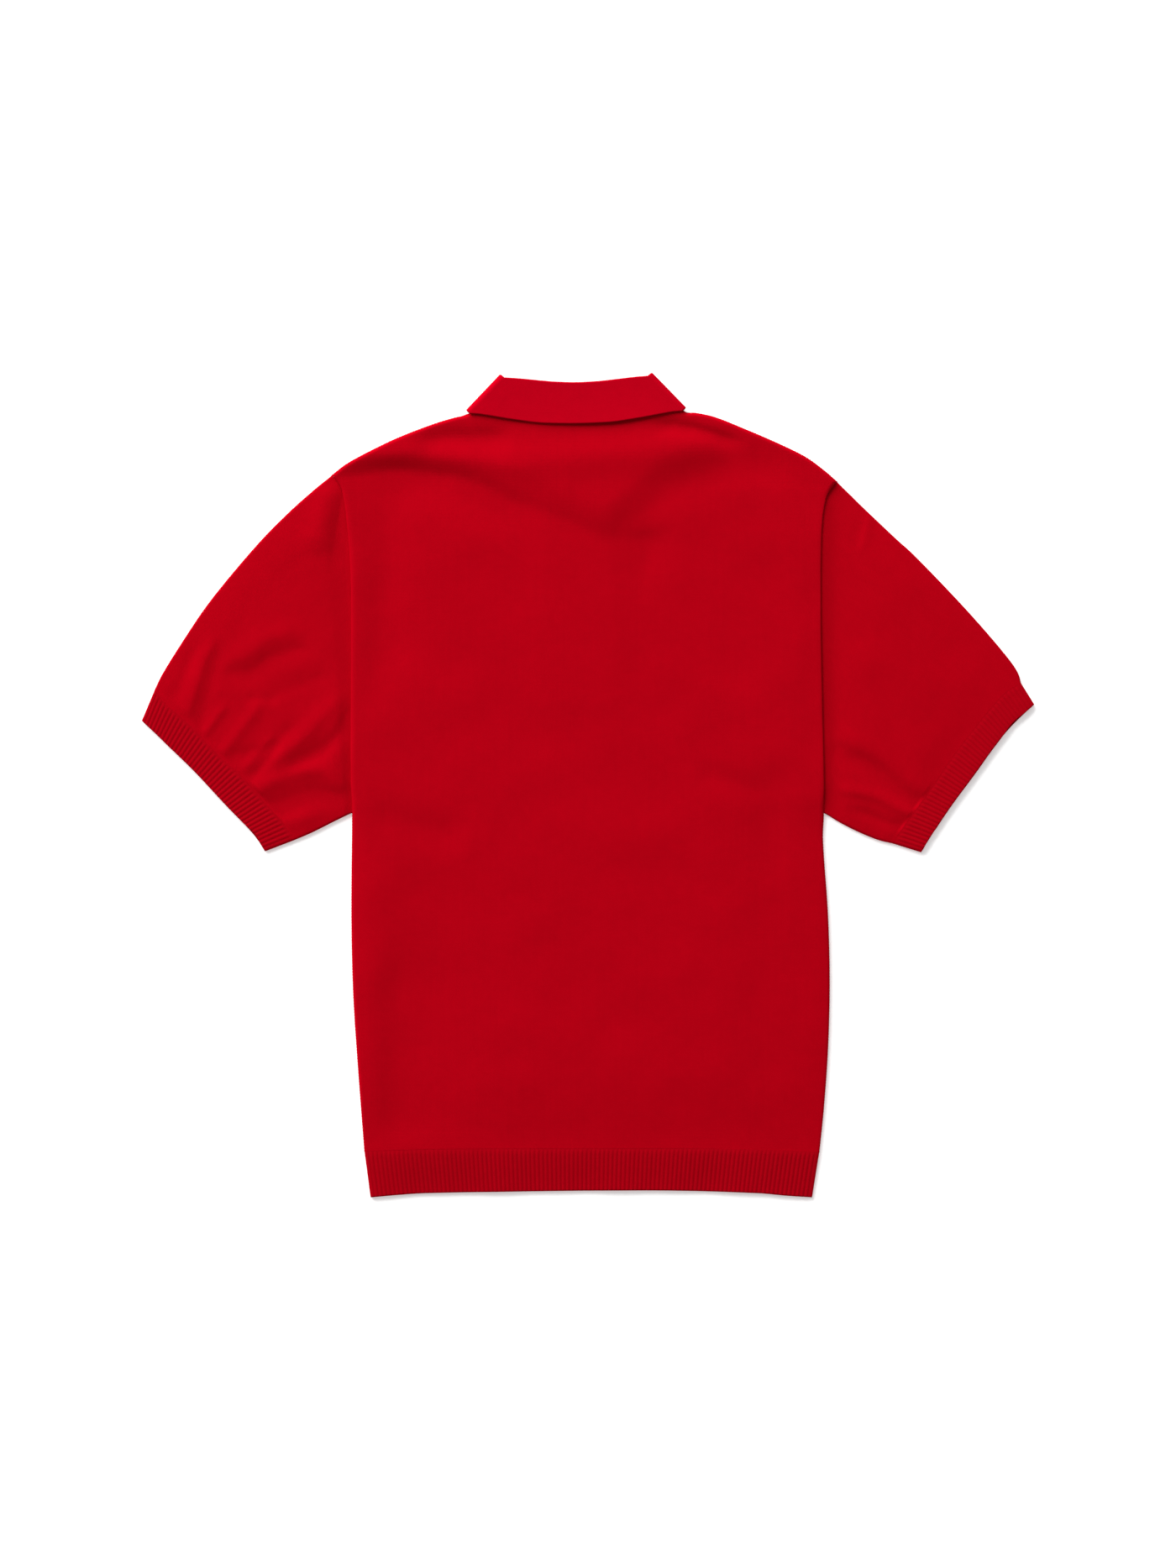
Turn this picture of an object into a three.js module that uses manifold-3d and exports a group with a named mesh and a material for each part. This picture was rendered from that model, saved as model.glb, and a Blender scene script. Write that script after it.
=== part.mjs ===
// A short-sleeved knit polo shirt, laid flat and face down, so that its back is uppermost.
// Millimetres. +Z points up from the surface, +Y from hem to collar, +X to the wearer's right.
// The origin is under the middle of the outline, on the surface that the shirt lies on.
//
// Every cloth piece is a wall between two grids of points, an outer one and an inner one.
// The front lies on the surface, the back lies over it with a little air between them, each
// sleeve and cuff is a flattened tube, and the collar folds over itself and wraps round the neck.
import * as THREE from "three";
import Module from "manifold-3d";
import { mergeVertices } from "three/addons/utils/BufferGeometryUtils.js";

const { clamp, degToRad, lerp, smoothstep } = THREE.MathUtils;

// Cloth
const WALL = 1.4;
const SEAM_GAP = 0.3;
const RIB_GAP = 0.42;
const COLLAR_GAP = 0.4;
const OVER_FRONT = WALL + SEAM_GAP;

// Air under the upper layers, above the seam level
const BODY_AIR = 2.8;
const HEM_AIR = 1.5;
const SLEEVE_AIR = 1.6;
const CUFF_AIR = 0.7;
const NECK_RAISE = 2.3;
const SIDE_ROLL = 14;
const ARMHOLE_ROLL = 8;
const SLEEVE_ROLL = 12;
const EDGE_ROUND = 2.2;
const SIDE_REACH = 8;

// Ribs
const RIB_HEIGHT = 0.6;
const HEM_RIBS = 104;
const LEFT_CUFF_RIBS = 43;
const RIGHT_CUFF_RIBS = 45;
const RIB_FADE = 5;

// Collar
const NECK_X = -10.8;
const NECK_TILT = 0.0115;
const FOLD_HALF_GAP = 1.0;
const CREASE_RADIUS = 3.4;
const COLLAR_AXIS_Z = CREASE_RADIUS + FOLD_HALF_GAP + WALL / 2;
const CREASE_OUT = { x: 0.723, y: 0.691 };
const LEAF_LIFT = 2.0;
const LEAF_SLOPE = 22;

// Placket and buttons
const PLACKET_X = -8.8;
const PLACKET_HALF = 17.5;
const PLACKET_LOW = 88;
const PLACKET_HIGH = 249.6;
const BUTTON_Y = [236, 177, 118];
const BUTTON_RADIUS = 5.75;
const BUTTON_THICK = 2.0;
const BUTTON_HOLE_RADIUS = 0.8;
const BUTTON_HOLE_OFFSET = 1.35;
const BUTTON_BED = 7;
const BUTTON_REACH = 15;

// A table's rows as objects with the named columns.
function table(columns, rows) {
  const names = columns.split(" ");
  return rows.map((row) => Object.fromEntries(names.map((name, i) => [name, row[i]])));
}

// Outlines of the body, on its left and right and along its hem and shoulders
const LEFT_EDGE = table("y x", [
  [-331.2, -202.6],
  [-247, -209.0],
  [-186, -212.8],
  [-118, -214.3],
  [-25, -213.6],
  [65, -213.6],
  [133, -213.2],
  [194, -213.9],
  [239, -217.4],
  [266, -221.9],
  [281.2, -231.8],
]);
const RIGHT_EDGE = table("y x", [
  [-332.0, 209.6],
  [-293, 213.6],
  [-239, 217.4],
  [-179, 218.9],
  [-118, 217.4],
  [-49, 212.8],
  [-25, 213.6],
  [72, 211.6],
  [150, 210.2],
  [200, 210.2],
  [240, 211.6],
  [260.7, 215.5],
  [275.1, 225.7],
]);
const RIB_LINE = table("x y", [
  [-202.6, -331.2],
  [-140, -329.4],
  [0, -328.8],
  [140, -329.2],
  [209.6, -332.0],
]);
const HEM_LINE = table("x y", [
  [-197, -373.4],
  [-172, -371.2],
  [-147, -369.6],
  [-71, -368.2],
  [4, -367.3],
  [79, -367.3],
  [154, -369.6],
  [179, -371.8],
  [203, -373.4],
]);
const LEFT_SHOULDER = table("x y", [
  [-231.8, 281.2],
  [-218.9, 291.1],
  [-196.8, 303.2],
  [-171.0, 315.4],
  [-139.1, 327.6],
  [-118.6, 333.6],
  [-108.9, 335.4],
  [-100.8, 342.2],
]);
const RIGHT_SHOULDER = table("x y", [
  [79.2, 344.2],
  [87.4, 337.5],
  [97.0, 337.4],
  [114.8, 333.6],
  [145.2, 321.5],
  [173.3, 309.3],
  [197.6, 297.2],
  [214.3, 285.0],
  [225.7, 275.1],
]);
// Necklines, by distance from the neck's middle line
const BACK_NECK = table("out y", [
  [0, 336.4],
  [30, 336.8],
  [55, 338.0],
  [75, 340.1],
  [90, 343.2],
]);
const FRONT_NECK = table("out y", [
  [0, 250.0],
  [12, 251.2],
  [37, 259.6],
  [64, 280.6],
  [76, 297.0],
  [83, 311.5],
  [87.4, 326.0],
  [90, 343.2],
]);

// Sleeve outlines, from the shoulder or underarm out to the cuff's rib line
const LEFT_OVERARM = table("x y", [
  [-232.2, 281.0],
  [-249.3, 266.8],
  [-269.8, 248.5],
  [-294.1, 224.2],
  [-320.7, 193.8],
  [-345.0, 163.4],
  [-365.6, 133.0],
  [-384.6, 102.6],
  [-392.2, 87.4],
]);
const LEFT_UNDERARM = table("x y", [
  [-214.0, -25.1],
  [-232.6, -34.2],
  [-249.3, -42.6],
  [-266.0, -49.8],
]);
const LEFT_RIB_LINE = table("x y", [
  [-392.2, 87.4],
  [-383.0, 74.5],
  [-359.8, 53.6],
  [-334.4, 26.9],
  [-311.3, 5.1],
  [-291.8, -16.7],
  [-274.6, -36.2],
  [-266.0, -49.8],
]);
const LEFT_CUFF_EDGE = table("x y", [
  [-404.3, 58.5],
  [-384.0, 39.0],
  [-356.4, 12.2],
  [-329.5, -16.7],
  [-308.9, -38.0],
  [-299.4, -49.4],
  [-292.6, -60.0],
]);
const RIGHT_OVERARM = table("x y", [
  [226.1, 274.9],
  [246.2, 254.6],
  [278.2, 224.2],
  [294.9, 209.0],
  [324.5, 178.6],
  [352.6, 148.2],
  [378.5, 117.8],
  [389.1, 102.6],
  [392.2, 92.7],
]);
const RIGHT_UNDERARM = table("x y", [
  [214.0, -25.1],
  [228.8, -34.2],
  [245.5, -42.6],
  [262.2, -49.4],
  [275.9, -52.8],
]);
const RIGHT_RIB_LINE = table("x y", [
  [392.2, 92.7],
  [374.7, 81.0],
  [348.1, 49.4],
  [326.0, 19.8],
  [307.8, -7.6],
  [290.3, -31.4],
  [275.9, -52.8],
]);
const RIGHT_CUFF_EDGE = table("x y", [
  [404.3, 73.3],
  [383.8, 53.6],
  [368.1, 34.6],
  [350.4, 10.0],
  [331.4, -15.6],
  [316.9, -36.8],
  [301.7, -60.8],
]);

// Collar stations from the front end round to the middle of the back. Each has the neckline seam,
// the fold and the free edge, as a distance out from the neck's middle line and a height up the
// shirt, then how far it has turned from the back (0) to the front (180), and the edge's stand-off.
const COLLAR_FRONT = table("neckOut foldOut foldY edgeOut edgeY turn flare", [
  [3.0, 2.0, 268.0, 45.2, 216.0, 180, 0],
  [19.0, 13.0, 274.0, 59.0, 228.0, 180, 0],
  [37.0, 25.2, 283.0, 71.2, 243.0, 180, 0],
  [63.6, 43.2, 303.0, 85.2, 270.0, 180, 0],
  [80.0, 55.2, 330.0, 92.2, 300.0, 180, 0],
  [86.5, 61.5, 352.0, 95.0, 320.0, 180, 0],
]);
const COLLAR_CREASE = { neckOut: 89.4, neckY: 344.1, foldOut: 66.0, foldY: 368.4, edgeOut: 96.0, edgeY: 337.2 };
const CREASE_TURNS = [180, 144, 108, 72, 36, 0];
const COLLAR_BACK = table("neckOut foldOut foldY edgeOut edgeY turn flare", [
  [81.5, 60.5, 368.0, 88.0, 336.6, 0, 0.5],
  [69.0, 51.5, 367.2, 77.0, 334.8, 0, 0.8],
  [48.0, 36.0, 365.4, 55.0, 331.0, 0, 1.0],
  [24.0, 18.0, 363.6, 28.0, 327.6, 0, 1.1],
  [0.0, 0.0, 362.9, 0.0, 326.9, 0, 1.1],
]);

// Lower limit of the area that the front collar leaves lift, by distance from the neck's middle line
const LEAF_LOW = table("out y", [
  [0, 236],
  [25, 222],
  [45, 206],
  [71, 226],
  [85, 248],
  [93, 272],
  [98, 302],
  [104, 345],
  [112, 385],
]);
// Lower limit of the raised area of the back, round the neck and shoulders
const RAISE_LOW = table("x y slope", [
  [-232, 286, 12],
  [-190, 291, 12],
  [-152, 289, 13],
  [-106, 283, 14],
  [-60, 272, 18],
  [-15, 250, 22],
  [16, 234, 24],
  [32, 247, 26],
  [68, 277, 26],
  [110, 293, 28],
  [170, 295, 26],
  [226, 284, 22],
]);

// Soft creases. Each runs from one end to the other with a bow to its left, and is a ridge where
// its height is positive and a trough where it is negative.
const CREASE_COLUMNS = "x1 y1 x2 y2 bow width height";
const BACK_CREASES = table(CREASE_COLUMNS, [
  [-137, 318, -80, 322, 0, 7, -1.4],
  [82, 330, 112, 325, 0, 6, -1.3],
  [-206, 262, -204, -20, 0, 6, 1.3],
  [-193, 262, -190, 140, 0, 10, -1.4],
  [204, 258, 203, -20, 0, 8, 2.2],
  [-182, -6, -128, -26, 0, 11, -1.3],
  [-176, -10, -180, -325, 0, 20, -1.5],
  [110, 16, 150, 6, 0, 9, -0.8],
  [14, 236, 48, 190, 0, 16, -0.8],
  [190, -60, 194, -330, 0, 16, 0.7],
]);
const LEFT_SLEEVE_CREASES = table(CREASE_COLUMNS, [
  [-328, 108, -266, 132, 3, 6, -1.2],
  [-330, 128, -272, 147, 3, 7, 1.6],
  [-358, 66, -334, 120, -3, 6, -1.1],
  [-369, 78, -342, 134, -3, 6, 1.5],
  [-280, 92, -236, 108, 0, 6, -1.0],
  [-320, 33, -270, 46, 0, 6, -1.0],
  [-304, -10, -218, 30, 5, 7, 2.6],
  [-272, 20, -220, 76, -4, 7, -1.1],
  [-296, -18, -218, 4, 5, 6, -1.3],
  [-288, -32, -226, -12, 3, 6, 1.5],
  [-324, 22, -292, 76, 0, 6, 1.3],
  [-352, 38, -322, 80, 0, 6, 1.1],
]);
const RIGHT_SLEEVE_CREASES = table(CREASE_COLUMNS, [
  [242, 26, 298, -18, 3, 7, -1.2],
  [234, 48, 284, 12, 3, 8, 1.5],
  [236, -28, 294, -26, -3, 7, 1.3],
]);

const smooth = (t) => smoothstep(t, 0, 1);

// A smooth curve through a table's rows, as a function of one column.
function through(rows, key, value) {
  const keys = rows.map((row) => row[key]);
  const values = rows.map((row) => row[value]);
  const last = keys.length - 1;
  const slope = (i) => {
    const before = Math.max(i - 1, 0);
    const after = Math.min(i + 1, last);
    return (values[after] - values[before]) / (keys[after] - keys[before]);
  };
  return (at) => {
    const k = clamp(at, keys[0], keys[last]);
    let i = 0;
    while (i < last - 1 && k > keys[i + 1]) i += 1;
    const span = keys[i + 1] - keys[i];
    const t = (k - keys[i]) / span;
    const rise = t * t * (3 - 2 * t);
    const leave = t * (1 - t) * (1 - t) * span;
    const arrive = t * t * (t - 1) * span;
    return values[i] + rise * (values[i + 1] - values[i]) + leave * slope(i) + arrive * slope(i + 1);
  };
}

const planCurve = (rows) => new THREE.SplineCurve(rows.map(({ x, y }) => new THREE.Vector2(x, y)));

// Numbers from the first break to the last, with the given count of equal steps between breaks.
function spread(breaks, counts) {
  const numbers = [breaks[0]];
  counts.forEach((count, i) => {
    for (let step = 1; step <= count; step += 1) numbers.push(lerp(breaks[i], breaks[i + 1], step / count));
  });
  return numbers;
}

// How high a soft edge stands at a distance from its seam: nothing at the seam, 1 beyond the roll.
function rolled(distance, roll) {
  const inward = 1 - clamp(distance / roll, 0, 1);
  return Math.sqrt(1 - inward * inward);
}

function distanceToPath(path, x, y) {
  let nearest = Infinity;
  for (let i = 0; i + 1 < path.length; i += 1) {
    const { x: ax, y: ay } = path[i];
    const dx = path[i + 1].x - ax;
    const dy = path[i + 1].y - ay;
    const t = clamp(((x - ax) * dx + (y - ay) * dy) / (dx * dx + dy * dy), 0, 1);
    nearest = Math.min(nearest, Math.hypot(x - ax - t * dx, y - ay - t * dy));
  }
  return nearest;
}

// The creases' height at a point.
function creased(creases, x, y) {
  let height = 0;
  for (const crease of creases) {
    const dx = crease.x2 - crease.x1;
    const dy = crease.y2 - crease.y1;
    const length = Math.hypot(dx, dy);
    const along = ((x - crease.x1) * dx + (y - crease.y1) * dy) / (length * length);
    if (along <= 0 || along >= 1) continue;
    const aside = ((y - crease.y1) * dx - (x - crease.x1) * dy) / length;
    const offset = (aside - crease.bow * 4 * along * (1 - along)) / crease.width;
    height += crease.height * Math.exp(-offset * offset) * Math.sqrt(Math.sin(Math.PI * along));
  }
  return height;
}

const ribLineY = through(RIB_LINE, "x", "y");
const hemLineY = through(HEM_LINE, "x", "y");
const leftEdgeX = through(LEFT_EDGE, "y", "x");
const rightEdgeX = through(RIGHT_EDGE, "y", "x");
const leftShoulderY = through(LEFT_SHOULDER, "x", "y");
const rightShoulderY = through(RIGHT_SHOULDER, "x", "y");
const leafLowY = through(LEAF_LOW, "out", "y");
const raiseLowY = through(RAISE_LOW, "x", "y");
const raiseSlope = through(RAISE_LOW, "x", "slope");

const LEFT_NECK_POINT = LEFT_SHOULDER.at(-1);
const RIGHT_NECK_POINT = RIGHT_SHOULDER[0];
const LEFT_SHOULDER_POINT = LEFT_SHOULDER[0];
const RIGHT_SHOULDER_POINT = RIGHT_SHOULDER.at(-1);
const UNDERARM_Y = LEFT_UNDERARM[0].y;

const backNeckY = through(BACK_NECK, "out", "y");
const frontNeckY = through(FRONT_NECK, "out", "y");

const neckTilted = (x, y) => y + NECK_TILT * (x - NECK_X);

// The top of a body panel: shoulder, neckline, shoulder.
function panelTop(neckY) {
  return (x) => {
    if (x <= LEFT_NECK_POINT.x) return leftShoulderY(x);
    if (x >= RIGHT_NECK_POINT.x) return rightShoulderY(x);
    return neckTilted(x, neckY(Math.abs(x - NECK_X)));
  };
}

// A body panel's points in plan, for a share of the way across and up. Columns run straight, and
// only those near a side follow its curve.
function panelPoint(top, across, up) {
  const leftY = lerp(RIB_LINE[0].y, LEFT_SHOULDER_POINT.y, up);
  const rightY = lerp(RIB_LINE.at(-1).y, RIGHT_SHOULDER_POINT.y, up);
  const low = lerp(RIB_LINE[0].x, RIB_LINE.at(-1).x, across);
  const high = lerp(LEFT_SHOULDER_POINT.x, RIGHT_SHOULDER_POINT.x, across);
  const leftBend = leftEdgeX(leftY) - lerp(RIB_LINE[0].x, LEFT_SHOULDER_POINT.x, up);
  const rightBend = rightEdgeX(rightY) - lerp(RIB_LINE.at(-1).x, RIGHT_SHOULDER_POINT.x, up);
  const bend = leftBend * (1 - across) ** SIDE_REACH + rightBend * across ** SIDE_REACH;
  return { x: lerp(low, high, up) + bend, y: lerp(ribLineY(low), top(high), up) };
}

// The share of the way across at which a column ends at x on the shoulders.
const acrossAt = (x) =>
  (x - LEFT_SHOULDER_POINT.x) / (RIGHT_SHOULDER_POINT.x - LEFT_SHOULDER_POINT.x);

// How far the front collar leaves lift what lies on them.
function leafLift(x, y) {
  const low = neckTilted(x, leafLowY(Math.abs(x - NECK_X)));
  return LEAF_LIFT * smooth((y - low + LEAF_SLOPE) / LEAF_SLOPE);
}

// How far the buttons lift the bands that lie on them.
function buttonLift(x, y) {
  const lifts = BUTTON_Y.map((buttonY) => {
    const distance = Math.hypot(x - PLACKET_X, y - buttonY);
    return (BUTTON_THICK + SEAM_GAP) * smooth((BUTTON_REACH - distance) / (BUTTON_REACH - BUTTON_BED));
  });
  return Math.max(...lifts);
}

const SHOULDER_PATHS = [LEFT_SHOULDER, RIGHT_SHOULDER];
const PLACKET_STEP = 26;
const PLACKET_CLEAR = 8;

// The least height of the back's underside over the placket and its buttons.
function placketStack(x, y) {
  const beside = PLACKET_HALF + PLACKET_CLEAR + PLACKET_STEP - Math.abs(x - PLACKET_X);
  const above = y - PLACKET_LOW + PLACKET_CLEAR + PLACKET_STEP;
  const share = smooth(beside / PLACKET_STEP) * smooth(above / PLACKET_STEP);
  return OVER_FRONT + (OVER_FRONT + BUTTON_THICK + 2 * SEAM_GAP) * share;
}

// The height of the back panel's underside.
function backUnderside(x, y) {
  const armhole = y > UNDERARM_Y;
  const side = Math.min(x - leftEdgeX(y), rightEdgeX(y) - x);
  const shoulder = Math.min(...SHOULDER_PATHS.map((path) => distanceToPath(path, x, y)));
  const roll = rolled(side, armhole ? ARMHOLE_ROLL : SIDE_ROLL) * rolled(shoulder, SIDE_ROLL);
  const fromRib = smooth((y - ribLineY(x)) / 30);
  const raise = NECK_RAISE * smooth((y - raiseLowY(x)) / raiseSlope(x) + 0.5);
  const lift = leafLift(x, y);
  const full = lerp(HEM_AIR, BODY_AIR, fromRib) + raise - lift + creased(BACK_CREASES, x, y);
  const open = OVER_FRONT + lift + roll * Math.max(full, 0.3);
  return Math.max(open, placketStack(x, y) * roll);
}

// The triangles of a solid, collected from grids of points and the strips that join them.
class Skin {
  constructor() {
    this.points = [];
    this.triangles = [];
  }

  // Adds a grid of points, with faces between them unless it is only wanted for its numbers.
  sheet(grid, ring, facing) {
    const numbers = grid.map((row) => row.map((point) => this.points.push(point) - 1));
    const width = grid[0].length;
    for (let r = 0; r + 1 < grid.length; r += 1) {
      for (let c = 0; c < (ring ? width : width - 1); c += 1) {
        const next = (c + 1) % width;
        const quad = [numbers[r][c], numbers[r][next], numbers[r + 1][next], numbers[r + 1][c]];
        if (!facing) [quad[1], quad[3]] = [quad[3], quad[1]];
        this.triangles.push([quad[0], quad[1], quad[2]], [quad[0], quad[2], quad[3]]);
      }
    }
    return numbers;
  }

  // Joins two lines of points that may differ in number, by the shorter diagonal each time.
  strip(a, b) {
    let i = 0;
    let j = 0;
    const apart = (m, n) => this.points[m].distanceToSquared(this.points[n]);
    while (i + 1 < a.length || j + 1 < b.length) {
      const canA = i + 1 < a.length;
      const canB = j + 1 < b.length;
      if (canA && (!canB || apart(a[i + 1], b[j]) <= apart(a[i], b[j + 1]))) {
        this.triangles.push([a[i + 1], a[i], b[j]]);
        i += 1;
      } else {
        this.triangles.push([a[i], b[j], b[j + 1]]);
        j += 1;
      }
    }
  }

  // The finished geometry, with its faces pointing out.
  geometry() {
    let volume = 0;
    for (const [i, j, k] of this.triangles) {
      const [a, b, c] = [this.points[i], this.points[j], this.points[k]];
      volume += a.dot(new THREE.Vector3().crossVectors(b, c));
    }
    if (volume < 0) this.triangles.forEach((triangle) => triangle.reverse());
    const positions = new Float32Array(this.points.flatMap((point) => point.toArray()));
    return new THREE.BufferGeometry()
      .setAttribute("position", new THREE.BufferAttribute(positions, 3))
      .setIndex(this.triangles.flat());
  }
}

// A wall between an outer and an inner grid, closed along its four edges.
function panelWall(outer, inner) {
  const skin = new Skin();
  const out = skin.sheet(outer, false, true);
  const into = skin.sheet(inner, false, false);
  const border = (numbers) => [
    numbers[0],
    numbers.map((row) => row.at(-1)),
    [...numbers.at(-1)].reverse(),
    numbers.map((row) => row[0]).reverse(),
  ];
  const sides = border(into);
  border(out).forEach((side, i) => skin.strip(side, sides[i]));
  return skin.geometry();
}

// A tube's wall between an outer and an inner grid of rings, closed at its two ends.
function tubeWall(outer, inner) {
  const skin = new Skin();
  const out = skin.sheet(outer, true, true);
  const into = skin.sheet(inner, true, false);
  const loop = (ring) => [...ring, ring[0]];
  skin.strip(loop(out[0]), loop(into[0]));
  skin.strip(loop(out.at(-1)).reverse(), loop(into.at(-1)).reverse());
  return skin.geometry();
}

const gridOf = (rows, columns, point) => rows.map((row) => columns.map((column) => point(column, row)));
const raised = ({ x, y }, z) => new THREE.Vector3(x, y, z);

// Shares of the way across, closer together at the sides and neck
const SIDE_COLUMNS = [0, 0.004, 0.011, 0.022, 0.038];
const NECK_SIDE = [acrossAt(-118), acrossAt(LEFT_NECK_POINT.x)];
const OTHER_NECK_SIDE = [acrossAt(RIGHT_NECK_POINT.x), acrossAt(98)];
const BACK_NECK_OUTS = [80, 64, 45, 26, 9];
const BACK_COLUMNS = [
  ...SIDE_COLUMNS,
  ...spread([0.07, ...NECK_SIDE], [4, 2]),
  ...BACK_NECK_OUTS.map((out) => acrossAt(NECK_X - out)),
  ...BACK_NECK_OUTS.map((out) => acrossAt(NECK_X + out)).reverse(),
  ...spread([...OTHER_NECK_SIDE, 0.93], [2, 4]),
  ...SIDE_COLUMNS.map((share) => 1 - share).reverse(),
];
const FRONT_NECK_OUTS = [88.6, 86.5, 80, 72, 63.6, 37, 19, 10];
const FRONT_COLUMNS = [
  ...spread([0, acrossAt(-150), ...NECK_SIDE], [2, 1, 2]),
  ...FRONT_NECK_OUTS.map((out) => acrossAt(NECK_X - out)),
  ...FRONT_NECK_OUTS.map((out) => acrossAt(NECK_X + out)).reverse(),
  ...spread([...OTHER_NECK_SIDE, acrossAt(135), 1], [2, 1, 2]),
];

function backPanel() {
  const top = panelTop(backNeckY);
  const rows = spread([0, 0.05, 0.5, 0.82, 0.95, 1], [2, 5, 7, 8, 5]);
  const plan = gridOf(rows, BACK_COLUMNS, (across, up) => panelPoint(top, across, up));
  const at = (lift) => plan.map((row) => row.map((p) => raised(p, backUnderside(p.x, p.y) + lift)));
  return panelWall(at(WALL), at(0));
}

// The front lies on the surface, lifted only by the collar leaves, with a slot for the placket.
function frontPanel(wasm) {
  const top = panelTop(frontNeckY);
  const rows = spread([0, 0.5, 0.8, 0.95, 1], [3, 5, 7, 4]);
  const plan = gridOf(rows, FRONT_COLUMNS, (across, up) => panelPoint(top, across, up));
  const at = (lift) => plan.map((row) => row.map((p) => raised(p, leafLift(p.x, p.y) + lift)));
  const half = PLACKET_HALF + SEAM_GAP;
  const tall = PLACKET_HIGH - PLACKET_LOW + 40;
  const slot = new THREE.BoxGeometry(half * 2, tall, 20);
  slot.translate(PLACKET_X, PLACKET_LOW - SEAM_GAP + tall / 2, 0);
  return cut(wasm, panelWall(at(WALL), at(0)), [slot]);
}

// The rows of a band of ribs across a wall: valley, near side and far side of each crest.
function ribColumns(count) {
  const columns = [];
  for (let rib = 0; rib < count; rib += 1) {
    columns.push(
      { share: rib / count, crest: 0 },
      { share: (rib + 0.28) / count, crest: 1 },
      { share: (rib + 0.72) / count, crest: 1 },
    );
  }
  return [...columns, { share: 1, crest: 0 }];
}

// A point of the hem's band, from the rib line down to the free edge.
function hemPoint(across, down) {
  const start = panelPoint(() => 0, across, 0);
  const endX = lerp(HEM_LINE[0].x, HEM_LINE.at(-1).x, across);
  const top = { x: start.x, y: start.y - RIB_GAP };
  return { x: lerp(top.x, endX, down), y: lerp(top.y, hemLineY(endX), down) };
}

function hemAir(across, down) {
  const width = HEM_LINE.at(-1).x - HEM_LINE[0].x;
  const side = Math.min(across, 1 - across) * width;
  return lerp(HEM_AIR, 0.9, down) * rolled(side, SIDE_ROLL);
}

function hemRibBack() {
  const rows = [0, 0.5, 1];
  const width = HEM_LINE.at(-1).x - HEM_LINE[0].x;
  const outer = gridOf(rows, ribColumns(HEM_RIBS), ({ share, crest }, down) => {
    const fade = smooth((Math.min(share, 1 - share) * width) / RIB_FADE);
    return raised(hemPoint(share, down), OVER_FRONT + hemAir(share, down) + WALL + crest * fade * RIB_HEIGHT);
  });
  const columns = [...SIDE_COLUMNS, ...spread([0.08, 0.92], [12]), ...SIDE_COLUMNS.map((s) => 1 - s).reverse()];
  const inner = gridOf(rows, columns, (across, down) =>
    raised(hemPoint(across, down), OVER_FRONT + hemAir(across, down)),
  );
  return panelWall(outer, inner);
}

function hemRibFront() {
  const columns = spread([0, 1], [18]);
  const at = (z) => gridOf([0, 0.5, 1], columns, (across, down) => raised(hemPoint(across, down), z));
  return panelWall(at(WALL), at(0));
}

// A sleeve's points in plan. Side is the share from overarm to underarm, along from armhole to cuff.
function sleevePlan({ overarm, underarm, ribLine, edgeX, gap }) {
  const over = planCurve(overarm);
  const under = planCurve(underarm);
  const cuff = planCurve(ribLine);
  const armhole = (side) => {
    const y = lerp(overarm[0].y, underarm[0].y, side);
    return new THREE.Vector2(edgeX(y) + gap, y);
  };
  const blend = (a, b, t) => a.clone().lerp(b, t);
  return (side, along) => {
    const lengthwise = blend(armhole(side), cuff.getPointAt(side), along);
    const crosswise = blend(over.getPointAt(along), under.getPointAt(along), side);
    const corners = blend(
      blend(armhole(0), armhole(1), side),
      blend(cuff.getPointAt(0), cuff.getPointAt(1), side),
      along,
    );
    return lengthwise.add(crosswise).sub(corners);
  };
}

// Distances in from the two folded edges of a tube of the given width, as shares of that width.
function foldedShares(width, middle) {
  const near = [0, 0.7, 2.2, 6, 12].map((distance) => distance / width);
  const far = near.map((share) => 1 - share).reverse();
  return [...near, ...spread([20 / width, 1 - 20 / width], [middle]), ...far];
}

const TUBE_MIDDLE = (WALL + OVER_FRONT) / 2;

// One ring of a flattened tube: its upper points from overarm to underarm, then its lower ones back.
function tubeRing({ shares, lowShares, width, inset, topZ, plan, lowZ }) {
  const shrink = (share) => lerp(inset / width, 1 - inset / width, share);
  const upper = shares.map((entry) => {
    const share = entry.share ?? entry;
    const point = plan(shrink(share));
    const round = inset > 0 ? 1 : rolled(Math.min(share, 1 - share) * width, EDGE_ROUND);
    return raised(point, lerp(TUBE_MIDDLE, topZ(point, share, entry.crest ?? 0), round));
  });
  const lower = lowShares.map((share) => {
    const point = plan(shrink(share));
    const round = inset > 0 ? 1 : rolled(Math.min(share, 1 - share) * width, EDGE_ROUND);
    return raised(point, lerp(TUBE_MIDDLE, lowZ, round));
  });
  return [...upper, ...lower.reverse()];
}

const LOW_SHARES_MM = [0.7, 2.2, 20];

function lowSharesOf(width, middle) {
  const near = LOW_SHARES_MM.map((distance) => distance / width);
  return [...near, ...spread([near.at(-1), 1 - near.at(-1)], [middle]).slice(1, -1), ...near.map((s) => 1 - s).reverse()];
}

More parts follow.
